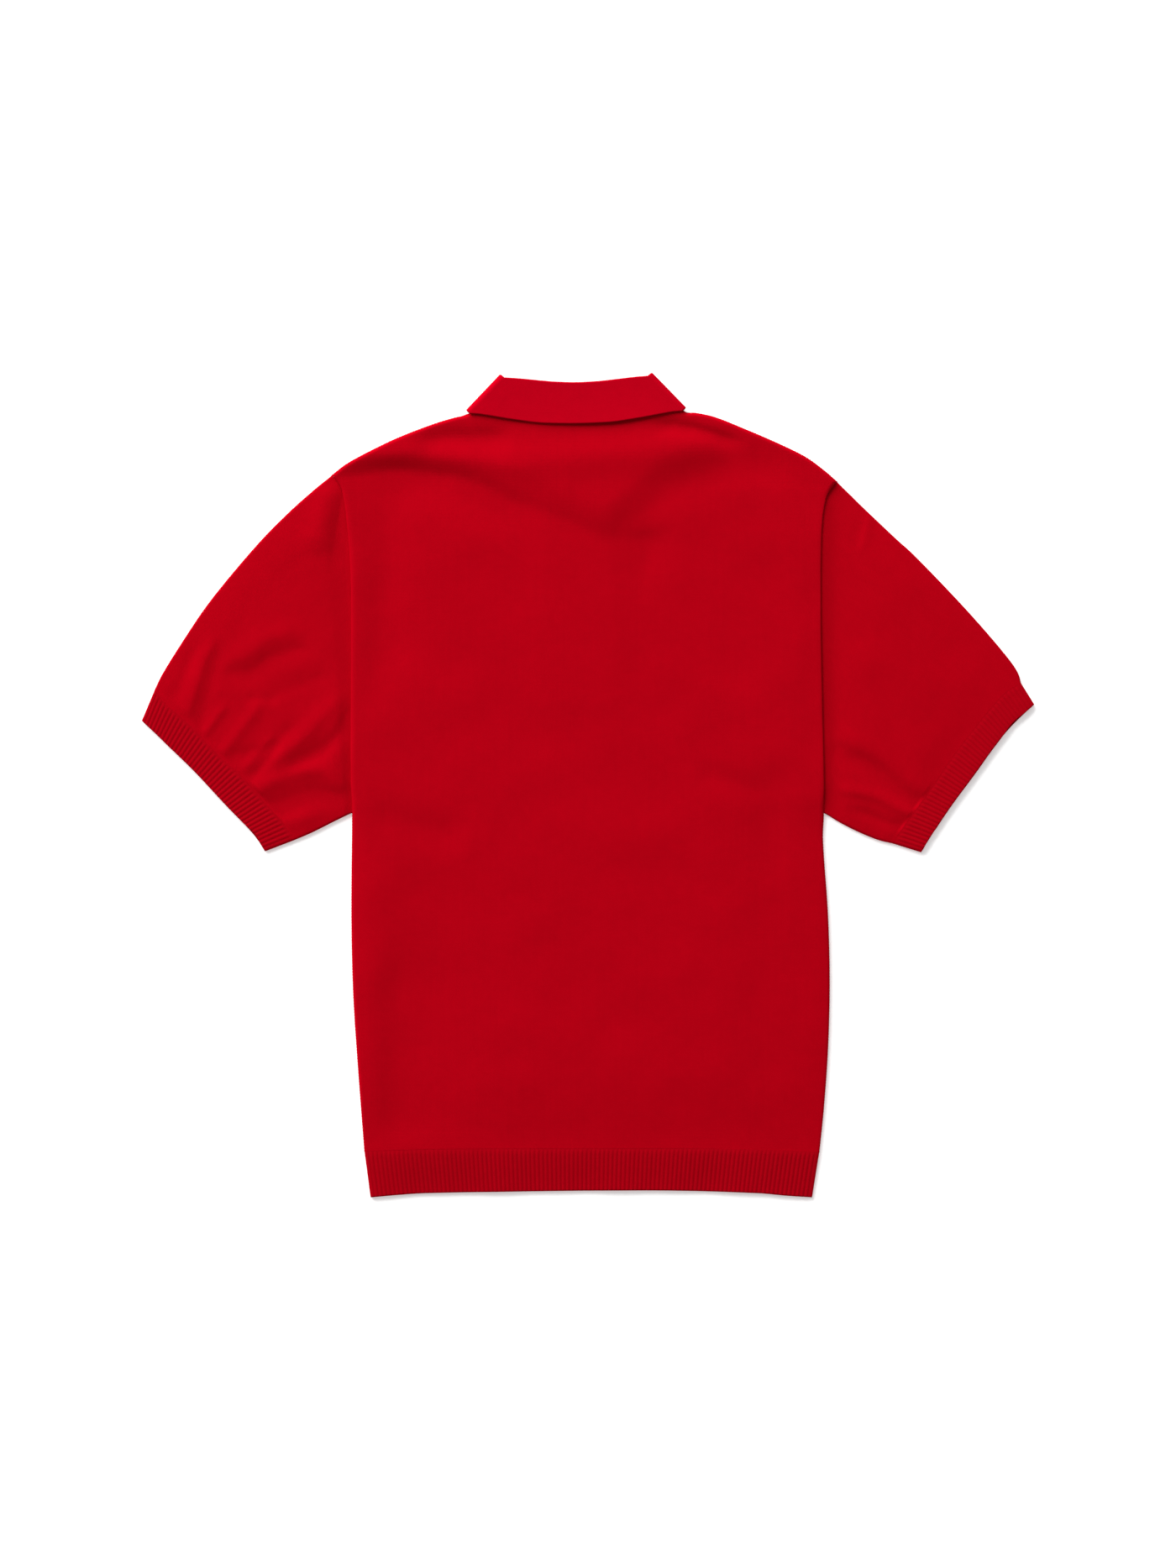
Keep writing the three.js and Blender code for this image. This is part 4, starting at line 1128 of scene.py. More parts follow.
def box_cutter(low, high):
    """A box to carve with, from one corner to the other in millimetres."""
    corners = [[(low, high)[k >> axis & 1][axis] * MM for axis in range(3)] for k in range(8)]
    faces = [(0, 2, 3, 1), (4, 5, 7, 6), (0, 1, 5, 4), (2, 6, 7, 3), (0, 4, 6, 2), (1, 3, 7, 5)]
    mesh = bpy.data.meshes.new("cutter")
    mesh.from_pydata(corners, [], faces)
    return placed("cutter", mesh)


class SHIRT_OT_front(bpy.types.Operator):
    """Builds the front panel, which lies on the surface, with a slot for the placket"""

    bl_idname = "shirt.front"
    bl_label = "Front panel"

    def execute(self, context):
        across, up, x, y = body_grid(front_neck_y, eased(130), eased(170, 0.6))
        near = seam_nearness(x, y, across, up)
        low = lerp(FRONT_LOW, WALL - 0.3, near) + leaf_lift(x, y)
        outer = np.stack([x, y, low], -1)
        across, up, ix, iy = body_grid(front_neck_y, eased(90), eased(120, 0.6))
        inner = np.stack([ix, iy, WALL + leaf_lift(ix, iy)], -1)
        mesh = panel_wall("front_panel_cloth", outer, inner, outer[..., :2], inner[..., :2])
        piece = piece_of(mesh, named_material("body_knit"))
        half = PLACKET_HALF + 0.04
        slot = box_cutter(
            (PLACKET_X - half, PLACKET_LOW - 0.04, -10), (PLACKET_X + half, PLACKET_HIGH + 20, 12)
        )
        carved(piece, slot)
        lay(piece, "body_knit", outer, ["floor"], "front_panel")
        return {"FINISHED"}


def tube_rings(plan, rows, upper, lower, inset, top_z, low_z, slip=None):
    """Rings of a flattened tube: over its upper side and back along its lower side."""
    shares = np.concatenate([upper, lower[::-1]])[None]
    on_top = np.arange(shares.size)[None] < len(upper)
    along = np.asarray(rows, float)[:, None]
    width = np.linalg.norm(plan(0.0 * along, along) - plan(1 + 0 * along, along), axis=-1)
    side = lerp(inset / width, 1 - inset / width, shares)
    reach = along + 0 * side
    if slip is not None:
        reach = np.where(on_top, reach * (1 - slip(shares)), reach)
    spot = plan(side, reach)
    x, y = spot[..., 0], spot[..., 1]
    edge = np.minimum(shares, 1 - shares) * width
    level = np.where(on_top, top_z(x, y, edge, reach), low_z(x, y, edge, reach))
    z = level if inset else lerp(TUBE_MIDDLE, level, rolled(edge, EDGE_ROUND))
    return np.stack([x, y, z], -1), (shares - 0.5) * width, reach, edge, on_top


def sleeve_plan(shape):
    """A sleeve's points in plan, by share from overarm to underarm and from armhole to cuff."""
    overarm, underarm = shape["overarm"], shape["underarm"]
    over, under, cuff = plan_curve(overarm), plan_curve(underarm), plan_curve(shape["rib_line"])

    def armhole(side):
        y = lerp(overarm["y"][0], underarm["y"][0], side)
        return np.stack([shape["edge_x"](y), y], -1)

    def plan(side, along):
        s, a = side[..., None], along[..., None]
        lengthwise = lerp(armhole(side), cuff(side), a)
        crosswise = lerp(over(along), under(along), s)
        near = lerp(armhole(0 * side), armhole(0 * side + 1), s)
        far = lerp(cuff(0 * side), cuff(0 * side + 1), s)
        return lengthwise + crosswise - lerp(near, far, a)

    return plan


LEFT_SLEEVE = dict(
    overarm=LEFT_OVERARM, underarm=LEFT_UNDERARM, rib_line=LEFT_RIB_LINE, cuff_edge=LEFT_CUFF_EDGE,
    edge_x=left_edge_x, tuck=0.5, seam_air=0.35, tip=LEFT_TIP[1], seam_flat=0, cuff_tilt=-0.2,
    seam_roll=26, folds=LEFT_SLEEVE_FOLDS, ribs=43, slips=((0.04, 0.2, 0.6), (0.8, 0.97, 1.6)),
)
RIGHT_SLEEVE = dict(
    overarm=RIGHT_OVERARM, underarm=RIGHT_UNDERARM, rib_line=RIGHT_RIB_LINE, cuff_edge=RIGHT_CUFF_EDGE,
    edge_x=right_edge_x, tuck=-0.55, seam_air=0.0, tip=RIGHT_TIP[1], seam_flat=7, cuff_tilt=1.0,
    seam_roll=60, folds=RIGHT_SLEEVE_FOLDS, ribs=45, slips=((0.02, 0.28, 1.8), (0.84, 0.98, 1.0)),
)
SLEEVE_LENGTH = 190
TUCK_LENGTH = 14


def sleeve_top(shape, depth):
    """The height of the underside of a sleeve's upper layer."""

    def top(x, y, edge, along):
        armhole = smooth((along * SLEEVE_LENGTH - shape["seam_flat"]) / shape["seam_roll"])
        cuff = smooth((1 - along) * SLEEVE_LENGTH / CUFF_SLOPE)
        folds = folded(shape["folds"], x, y) * smooth((1 - along) * SLEEVE_LENGTH / 8)
        full = lerp(CUFF_AIR, SLEEVE_AIR, cuff) + depth * (folds + ripples(x, y) * cuff)
        air = softly_over(full, 0.1) * sloped(edge, SLEEVE_SLOPE, SIDE_LIFT)
        seam = shape["seam_air"] * armhole_fade(y, shape["tip"])
        ridge = depth * np.maximum(folds, -seam) * (1 - armhole) * armhole_fade(y, shape["tip"])
        return OVER_FRONT + lerp(seam, air, armhole) + ridge

    return top


def make_sleeve(name, shape, depth):
    plan = sleeve_plan(shape)
    top = sleeve_top(shape, depth)

    def rings(rows, upper, lower, inset):
        def start(along):
            return 0 if inset else 0.12 * (1 - rolled(along * SLEEVE_LENGTH, ARMHOLE_ROUND))

        ring = tube_rings(
            plan, rows, upper, lower, inset,
            lambda x, y, edge, along: top(x, y, edge, along) + (0 if inset else WALL) - start(along),
            lambda x, y, edge, along: (WALL if inset else FRONT_LOW) + start(along) + 0 * x,
        )
        grid, along, on_top = ring[0], ring[2], ring[4]
        grid[..., 0] += on_top * shape["tuck"] * np.clip(1 - along * SLEEVE_LENGTH / TUCK_LENGTH, 0, 1)
        return ring

    outer, u, along, _, _ = rings(eased(170, 0.6), eased(170, 0.7), eased(60, 0.7)[1:-1], 0)
    inner, iu, in_along, _, _ = rings(eased(60, 0.6), eased(60, 0.7), eased(30, 0.7)[1:-1], WALL)
    places = np.stack([u + 0 * along, -along * SLEEVE_LENGTH], -1)
    inner_places = np.stack([iu + 0 * in_along, -in_along * SLEEVE_LENGTH], -1)
    mesh = tube_wall(f"{name}_cloth", outer, inner, places, inner_places)
    piece = piece_of(mesh, named_material("sleeve_knit"))
    lay(piece, "sleeve_knit", outer, ["floor"], name, ring=True)


class SHIRT_OT_sleeves(bpy.types.Operator):
    """Builds the two sleeves as flattened tubes"""

    bl_idname = "shirt.sleeves"
    bl_label = "Sleeves"

    def execute(self, context):
        depth = context.scene.shirt_sizes.fold_depth
        make_sleeve("sleeve_left", LEFT_SLEEVE, depth)
        make_sleeve("sleeve_right", RIGHT_SLEEVE, depth)
        return {"FINISHED"}


def ribbed(piece, context):
    """Raises a piece's ribs."""
    sizes = context.scene.shirt_sizes
    material = named_material("rib_knit")
    return grown(piece, rib_tree, relief=sizes.rib_height, fullness=sizes.rib_fullness, material=material)


def hem_point(across, down):
    """A point of the hem's band, from the rib line down to the free edge."""
    start_x, start_y = panel_point(lambda x: 0 * x, across, 0 * across)
    end_x = lerp(HEM_LINE["x"][0], HEM_LINE["x"][-1], across)
    return lerp(start_x, end_x, down), lerp(start_y, hem_line_y(end_x), down)


def hem_air(across, down):
    side = np.minimum(across, 1 - across) * HEM_WIDTH
    uneven = 0.3 * np.sin(across * 21 + 1.7) + 0.2 * np.sin(across * 47 + 0.4)
    return lerp(HEM_AIR, 0.5 + uneven, smooth(down)) * sloped(side, SIDE_SLOPE, SIDE_LIFT)


def hem_band(columns, rows):
    across, down = np.meshgrid(columns, rows)
    x, y = hem_point(across, down)
    end = 1 - rolled((1 - down) * HEM_DEPTH, RIM_ROUND)
    side = 1 - rolled(np.minimum(across, 1 - across) * HEM_WIDTH, RIM_ROUND)
    fade = smooth(np.minimum(across, 1 - across) * HEM_WIDTH / RIB_FADE) * smooth(down * HEM_DEPTH / RIB_START)
    marks = np.stack([across * HEM_RIBS, fade * (1 - 0.6 * end)], -1)
    return across, down, x, y, end, side, marks


class SHIRT_OT_hem(bpy.types.Operator):
    """Builds the hem's two ribbed bands"""

    bl_idname = "shirt.hem"
    bl_label = "Ribbed hem"

    def execute(self, context):
        fine, rows = np.linspace(0, 1, HEM_RIBS * RIB_COLUMNS + 1), eased(18)
        coarse = eased(90)
        across, down, x, y, end, side, marks = hem_band(fine, rows)
        low = OVER_FRONT + hem_air(across, down) - 0.25 * side
        outer = np.stack([x, y, low + WALL * (1 - 0.5 * np.maximum(end, side))], -1)
        ia, idown, ix, iy, _, iside, _ = hem_band(coarse, rows)
        inner = np.stack([ix, iy, OVER_FRONT + hem_air(ia, idown) - 0.25 * iside], -1)
        mesh = panel_wall("hem_rib_back_cloth", outer, inner, outer[..., :2], inner[..., :2], marks)
        piece = ribbed(piece_of(mesh, named_material("rib_knit")), context)
        lay(piece, "rib_knit", outer, ["hem_rib_front_cloth"], "hem_rib_back")

        marks[..., 1] *= -1
        base = lerp(FRONT_LOW, 0, smooth(down * HEM_DEPTH / RIB_START))
        outer = np.stack([x, y, lerp(base, WALL - 0.3, np.maximum(0.65 * end, side))], -1)
        inner = np.stack([ix, iy, WALL + 0 * ix], -1)
        mesh = panel_wall("hem_rib_front_cloth", outer, inner, outer[..., :2], inner[..., :2], marks)
        piece = ribbed(piece_of(mesh, named_material("rib_knit")), context)
        lay(piece, "rib_knit", outer, ["floor"], "hem_rib_front")
        return {"FINISHED"}


def make_cuff(name, shape, context):
    start, end = plan_curve(shape["rib_line"]), plan_curve(shape["cuff_edge"])
    across = float(np.linalg.norm(start(0.0) - start(1.0)))
    deep = float(np.linalg.norm(start(0.5) - end(0.5)))

    def plan(side, down):
        return lerp(start(side), end(side), down[..., None])

    def slip(share):
        back = 0 * share
        for first, last, reach in shape["slips"]:
            t = np.clip((share - first) / (last - first), 0, 1)
            back = back + reach / deep * np.sin(np.pi * t) ** 2
        return back

    def rings(rows, upper, lower, inset):
        wall = 0 if inset else WALL

        def top(x, y, edge, down):
            rim = 1 - rolled((1 - down) * deep, RIM_ROUND)
            air = CUFF_AIR * sloped(edge, SLEEVE_SLOPE, SIDE_LIFT)
            tilt = shape["cuff_tilt"] * smooth(down) * rolled(edge, RIM_ROLL)
            return OVER_FRONT + air + tilt + wall * (1 - 0.6 * rim)

        def low(x, y, edge, down):
            rim = 1 - rolled((1 - down) * deep, RIM_ROUND)
            base = lerp(FRONT_LOW, 0, smooth(down * deep / RIB_START))
            return (WALL if inset else lerp(base, WALL, 0.6 * rim)) + 0 * x

        return tube_rings(plan, rows, upper, lower, inset, top, low, slip)

    fine = np.linspace(0, 1, shape["ribs"] * RIB_COLUMNS + 1)
    rows = eased(18)
    outer, u, down, edge, on_top = rings(rows, fine, fine[1:-1], 0)
    inner, iu, idown, _, _ = rings(rows, eased(60, 0.7), eased(30, 0.7)[1:-1], WALL)
    shares = np.concatenate([fine, fine[1:-1][::-1]])[None] + 0 * down
    fade = smooth(edge / RIB_FADE) * smooth(down * deep / RIB_START)
    marks = np.stack([shares * shape["ribs"], np.where(on_top, fade, -fade)], -1)
    places = np.stack([u + 0 * down, -down * deep], -1)
    inner_places = np.stack([iu + 0 * idown, -idown * deep], -1)
    mesh = tube_wall(f"{name}_cloth", outer, inner, places, inner_places, marks)
    piece = ribbed(piece_of(mesh, named_material("rib_knit")), context)
    lay(piece, "rib_knit", outer, ["floor"], name, ring=True)


class SHIRT_OT_cuffs(bpy.types.Operator):
    """Builds the sleeves' ribbed cuffs"""

    bl_idname = "shirt.cuffs"
    bl_label = "Ribbed cuffs"

    def execute(self, context):
        make_cuff("cuff_left", LEFT_SLEEVE, context)
        make_cuff("cuff_right", RIGHT_SLEEVE, context)
        return {"FINISHED"}


def collar_stations(fineness):
    """The collar's stations from a front end to the middle of the back, with more between them."""
    names = "neckOut neckY foldOut foldY edgeOut edgeY turn flare".split()
    runs = []
    for rows, neck_y, turn in ((COLLAR_FRONT, front_neck_y, 180.0), (COLLAR_BACK, back_neck_y, 0.0)):
        out = rows["neckOut"]
        slope = neck_y(out + 0.5) - neck_y(out - 0.5)
        inset = COLLAR_GAP / np.hypot(1, slope)
        seat = dict(neckOut=out - inset * slope, neckY=neck_y(out) + inset, turn=np.full(len(out), turn))
        runs.append({"flare": np.zeros(len(out)), **rows, **seat})
    turns = np.linspace(180, 0, 6)
    crease = {name: np.full(6, COLLAR_CREASE.get(name, 0.0)) for name in names} | {"turn": turns}
    stations = {}
    count = 6 + 6 + len(COLLAR_BACK["neckOut"])
    at = np.concatenate([[0], *(i + np.arange(1, n + 1) / n for i, n in enumerate(fineness[: count - 1]))])
    for name in names:
        values = np.concatenate([runs[0][name], crease[name], runs[1][name]])
        steps = np.diff(values)
        product = steps[:-1] * steps[1:]
        total = np.where(product > 0, steps[:-1] + steps[1:], 1)
        inner = np.where(product > 0, 2 * product / total, 0)
        last = steps[-1] if name.endswith("Out") else 0
        slopes = np.concatenate([[steps[0]], inner, [last]])
        i = np.clip(at.astype(int), 0, count - 2)
        t = at - i
        bend = t * (1 - t) * ((1 - t) * slopes[i] - t * slopes[i + 1])
        stations[name] = values[i] + t * t * (3 - 2 * t) * steps[i] + bend
    return stations


def collar_side(stations, hand, side, along):
    """One face of one half of the collar: up the stand, over the fold and down the fall."""
    s = {name: values[:, None] for name, values in stations.items()}
    turn = np.radians(s["turn"])

    def plan(out, y):
        x = NECK_X + hand * out
        return np.stack([x, neck_tilted(x, y), 0 * x + COLLAR_AXIS_Z], -1)

    normal = np.stack(
        [hand * CREASE_OUT[0] * np.sin(turn), CREASE_OUT[1] * np.sin(turn), np.cos(turn)], -1
    )
    neck, fold, edge = (plan(s[name + "Out"], s[name + "Y"]) for name in ("neck", "fold", "edge"))
    upward = 2 * fold - neck - edge
    upward /= np.linalg.norm(upward, axis=-1, keepdims=True)
    stand = np.linspace(0, 1, 12)
    angles = np.radians(np.linspace(0, 180, 16)[1:-1])
    fall = eased(34, 0.6)
    fall_length = np.linalg.norm(edge - fold, axis=-1)
    stand_length = np.linalg.norm(neck - fold, axis=-1)
    from_edge = np.concatenate([0 * stand + 99, 0 * angles + 99, fall * 0], 0)[None] + 0 * fall_length
    from_edge[:, -len(fall):] = (1 - fall)[None] * fall_length
    from_edge = np.minimum(from_edge, along[:, None])
    half = side * WALL / 2 * (0.3 + 0.7 * rolled(from_edge, RIM_ROUND))
    radius = FOLD_HALF_GAP + half
    a, b, c = np.split(radius, [len(stand), len(stand) + len(angles)], axis=1)
    flare = s["flare"] * lerp(1, 0.55 if hand < 0 else 1.35, smooth(s["foldOut"] / 50))
    wave = 0.25 * np.sin(along[:, None] / 17 + hand) * np.cos(along[:, None] / 41) * (np.cos(turn) > 0)
    parts = [
        (lerp(neck, fold, stand[None, :, None]), -a),
        (fold + upward * (b * np.sin(angles))[..., None], -b * np.cos(angles)),
        (lerp(fold, edge, fall[None, :, None]), c + (1 + wave) * flare * fall**2),
    ]
    grid = np.concatenate([p + normal * (CREASE_RADIUS + reach)[..., None] for p, reach in parts], 1)
    bend = math.pi * FOLD_HALF_GAP
    v = np.concatenate(
        [stand * stand_length, stand_length + angles / math.pi * bend, stand_length + bend + fall * fall_length], 1
    )
    return grid, v


class SHIRT_OT_collar(bpy.types.Operator):
    """Builds the collar, one strip with a stand, a fold and a fall"""

    bl_idname = "shirt.collar"
    bl_label = "Collar"

    def execute(self, context):
        stations = collar_stations([10] * 5 + [12] + [16] * 5 + [12] * 5)
        plan = np.stack([stations["foldOut"], stations["foldY"]], -1)
        along = np.concatenate([[0], np.cumsum(np.linalg.norm(np.diff(plan, axis=0), axis=1))])
        faces = []
        for side in (1, -1):
            left, v = collar_side(stations, -1, side, along)
            right, _ = collar_side(stations, 1, side, along)
            grid = np.concatenate([left, right[:-1][::-1]])
            across = np.concatenate([v, v[:-1][::-1]])
            whole = np.concatenate([along, 2 * along[-1] - along[:-1][::-1]])
            faces.append((grid, np.stack([whole[:, None] + 0 * across, across], -1)))
        (outer, places), (inner, inner_places) = faces
        mesh = panel_wall("collar_cloth", outer, inner, places, inner_places)
        piece = piece_of(mesh, named_material("collar_knit"))
        lay(piece, "collar_knit", outer, ["floor", "back_panel_cloth"], "collar")
        return {"FINISHED"}


def placket_band(name, node, level, low):
    """A placket band. The outer one lies on the surface and the buttons, the inner one on it."""
    across, up = np.meshgrid(eased(48), eased(190, 0.5))
    x = PLACKET_X + lerp(-PLACKET_HALF, PLACKET_HALF, across)
    y = lerp(PLACKET_LOW, PLACKET_HIGH, up)
    lift = np.maximum(leaf_lift(x, y), button_lift(x, y)) + level
    side = np.minimum(across, 1 - across) * 2 * PLACKET_HALF
    end = np.minimum(up, 1 - up) * (PLACKET_HIGH - PLACKET_LOW)
    near = 1 - rolled(np.minimum(side, end), RIM_ROUND)
    outer = np.stack([x, y, lift + lerp(low, 0.75, near)], -1)
    inner = np.stack([x, y, lift + WALL - 0.3 * near], -1)
    mesh = panel_wall(name, outer, inner, outer[..., :2], inner[..., :2])
    piece = piece_of(mesh, named_material("placket_knit"))
    lay(piece, "placket_knit", outer, ["floor"] if level == 0 else ["placket_over_cloth"], node)


class SHIRT_OT_placket(bpy.types.Operator):
    """Builds the placket's two bands"""

    bl_idname = "shirt.placket"
    bl_label = "Placket"

    def execute(self, context):
        placket_band("placket_over_cloth", "placket_over", 0, THREAD_ROOM)
        placket_band("placket_under_cloth", "placket_under", OVER_FRONT, 0)
        return {"FINISHED"}


BUTTON_PROFILE = (
    (3.0, 0.5), (3.5, 0.46), (3.85, 0.3), (4.1, 0.1), (4.5, 0.0), (5.05, 0.06), (5.45, 0.3), (5.68, 0.6),
    (5.75, 0.85), (5.66, 1.15), (5.4, 1.48), (4.9, 1.7), (4.0, 1.88), (3.0, 1.97), (1.6, 2.0),
)
BUTTON_HOLES = 1.35


def make_button(name, node, y):
    """A four-hole button, face down: a rim, a sunk middle and a slightly domed back."""
    turns = np.linspace(0, 2 * math.pi, 56, endpoint=False)
    points = [(r * math.cos(a), r * math.sin(a), z) for r, z in BUTTON_PROFILE for a in turns]
    count, rings = len(turns), len(BUTTON_PROFILE)
    faces = [
        (k * count + i, (k + 1) * count + i, (k + 1) * count + (i + 1) % count, k * count + (i + 1) % count)
        for k in range(rings - 1)
        for i in range(count)
    ]
    faces += [tuple(range(count)), tuple(reversed(range((rings - 1) * count, rings * count)))]
    place = np.array(points) + (PLACKET_X, y, 0)
    mesh = bpy.data.meshes.new(name)
    mesh.from_pydata((place * MM).tolist(), [], faces)
    shape = bmesh.new()
    shape.from_mesh(mesh)
    bmesh.ops.recalc_face_normals(shape, faces=shape.faces)
    shape.to_mesh(mesh)
    shape.free()
    piece = piece_of(mesh, named_material("button_resin"))
    for dx in (-1, 1):
        for dy in (-1, 1):
            carved(piece, hole_cutter(PLACKET_X + dx * BUTTON_HOLES, y + dy * BUTTON_HOLES))
    piece.data.shade_smooth()
    piece.data.set_sharp_from_angle(angle=math.radians(35))
    return settle(piece, "button_resin", node)


def hole_cutter(x, y):
    turns = np.linspace(0, 2 * math.pi, 20, endpoint=False)
    ring = [(x + 0.8 * math.cos(a), y + 0.8 * math.sin(a)) for a in turns]
    mesh = bpy.data.meshes.new("cutter")
    points = [(px * MM, py * MM, z * MM) for z in (-4, 6) for px, py in ring]
    n = len(turns)
    faces = [(i, (i + 1) % n, n + (i + 1) % n, n + i) for i in range(n)]
    faces += [tuple(reversed(range(n))), tuple(range(n, 2 * n))]
    mesh.from_pydata(points, [], faces)
    return placed("cutter", mesh)


class SHIRT_OT_buttons(bpy.types.Operator):
    """Builds the three buttons and the thread that holds them"""

    bl_idname = "shirt.buttons"
    bl_label = "Buttons"

    def execute(self, context):
        crosses = []
        for where, y in zip(("top", "middle", "bottom"), BUTTON_Y):
            make_button(f"button_{where}_disc", f"button_{where}", y)
            for dx in (-1, 1):
                x = PLACKET_X + dx * BUTTON_HOLES
                crosses += [[(x + k, y - BUTTON_HOLES, 0.5), (x + k, y + BUTTON_HOLES, 0.5)] for k in (-0.3, 0.3)]
        settle(stitches("button_threads", crosses, 0.35, 0.6, 0.45), "button_resin")
        return {"FINISHED"}


class SHIRT_OT_seams(bpy.types.Operator):
    """Sews the seams: armholes, sides, shoulders and placket"""

    bl_idname = "shirt.seams"
    bl_label = "Seams"

    def execute(self, context):
        sizes = context.scene.shirt_sizes
        pitch, thick = sizes.stitch_pitch / MM, sizes.thread_thickness / MM
        armhole, closed = [], []
        for shape in (LEFT_SLEEVE, RIGHT_SLEEVE):
            edge_x, tip = shape["edge_x"], shape["tip"]
            y = np.linspace(UNDERARM_Y + 2, tip - 3, 160)
            z = OVER_FRONT + WALL + shape["seam_air"] * armhole_fade(y, tip) - ARMHOLE_STITCH_SINK
            armhole.append(np.stack([edge_x(y), y, z], -1))
            armhole.append(np.stack([edge_x(y), y, 0 * y + FRONT_LOW + 0.05], -1))
        for edge_x, low in ((left_edge_x, LEFT_EDGE["y"][0]), (right_edge_x, RIGHT_EDGE["y"][0])):
            y = np.linspace(low, UNDERARM_Y, 160)
            closed.append(np.stack([edge_x(y), y, 0 * y + OVER_FRONT - 0.2], -1))
        for path in SHOULDER_PATHS:
            closed.append(np.stack([path["x"], path["y"], leaf_lift(path["x"], path["y"]) + OVER_FRONT - 0.2], -1))
        settle(stitches("armhole_stitches", armhole, pitch, pitch * 0.85, thick, 0.18), "body_knit")
        settle(stitches("side_and_shoulder_stitches", closed, pitch, pitch * 0.85, thick, 0.0), "body_knit")

        half, low, high = PLACKET_HALF - 2.0, PLACKET_LOW + 2.0, PLACKET_HIGH - 3
        box = PLACKET_LOW + 15
        lines = [
            [(PLACKET_X - half, y) for y in np.linspace(low, high, 90)],
            [(PLACKET_X + half, y) for y in np.linspace(low, high, 90)],
            [(x, low) for x in np.linspace(PLACKET_X - half, PLACKET_X + half, 20)],
            [(x, box) for x in np.linspace(PLACKET_X - half, PLACKET_X + half, 20)],
        ]
        sewn = []
        for line in lines:
            x, y = np.array(line).T
            lift = np.maximum(leaf_lift(x, y), button_lift(x, y))
            sewn.append(np.stack([x, y, lift + THREAD_ROOM - 0.02], -1))
        thin = min(thick, 2 * THREAD_ROOM - 0.04)
        settle(stitches("placket_stitches", sewn, pitch, pitch * 0.8, thin), "placket_knit")
        holes = []
        for at in BUTTON_Y:
            for aside in (-0.55, 0.55):
                y = np.linspace(at - 7.5, at + 7.5, 30)
                x = PLACKET_X + aside + 0 * y
                holes.append(np.stack([x, y, button_lift(x, y) + THREAD_ROOM], -1))
        settle(stitches("buttonhole_stitches", holes, 0.55, 0.9, 0.36, 1.2), "placket_knit")
        return {"FINISHED"}


def area_light(name, place, power, size, colour):
    """A square soft light, turned to the middle of the shirt."""
    light = bpy.data.lights.new(name, "AREA")
    light.energy, light.size, light.color = power, size, colour
    lamp = placed(name, light)
    lamp.location = place
    lamp.rotation_euler = (-Vector(place)).to_track_quat("-Z", "Y").to_euler()


class SHIRT_OT_stage(bpy.types.Operator):
    """Sets the pale floor, the soft lights and the camera straight above"""

    bl_idname = "shirt.stage"
    bl_label = "Stage"

    def execute(self, context):
        scene = context.scene
        look = scene.shirt_stage
        turns = np.linspace(0, 2 * math.pi, 96, endpoint=False)
        radii = (0.4, 0.9, 1.8, 4.0, 8.0)
        points = [(0, 0, 0)] + [(r * math.cos(a), r * math.sin(a), 0) for r in radii for a in turns]
        n = len(turns)
        faces = [(0, 1 + i, 1 + (i + 1) % n) for i in range(n)]
        for k in range(len(radii) - 1):
            a, b = 1 + k * n, 1 + (k + 1) * n
            faces += [(a + i, b + i, b + (i + 1) % n, a + (i + 1) % n) for i in range(n)]
        mesh = bpy.data.meshes.new("floor")
        mesh.from_pydata(points, [], faces)
        floor = piece_of(mesh, floor_material(look.floor))

        world = bpy.data.worlds.new("studio")
        world.use_nodes = True
        world.node_tree.nodes["Background"].inputs["Color"].default_value = (1, 1, 1, 1)
        world.node_tree.nodes["Background"].inputs["Strength"].default_value = look.fill
        scene.world = world
        area_light("key", (-6.47, 8.85, 4.88), look.key, 9.0, (1, 0.99, 0.98))
        area_light("top", (0.3, 2.4, 1.5), look.top, 1.6, (1, 1, 1))

        camera = bpy.data.cameras.new("camera")
        camera.lens, camera.sensor_width = 85, 36
        camera.clip_start, camera.clip_end = 0.05, 50
        above = placed("camera", camera)
        above.location = (0, CAMERA_Y, CAMERA_HEIGHT)
        scene.camera = above
        scene.view_settings.view_transform = "Standard"
        return {"FINISHED"}


def floor_material(colour):
    """Pale matt card."""
    material, g = blank_material("pale_card")
    place = g.node("ShaderNodeTexCoord", output="Object")
    grain = g.node("ShaderNodeTexNoise", sockets={"Vector": place, "Scale": 6, "Detail": 2}) - 0.5
    shade = 1 + 0.01 * grain
    surfaced(
        g,
        {
            "Base Color": tinted(g, colour, shade), "Roughness": 0.9 + 0.05 * grain, "Specular IOR Level": 0.1,
            "Emission Color": (1, 1, 1, 1), "Emission Strength": FLOOR_GLOW,
        },
    )
    return material


def colour_property(name, description, default):
    return bpy.props.FloatVectorProperty(
        name=name, description=description, default=default, size=3, min=0, max=1, subtype="COLOR"
    )


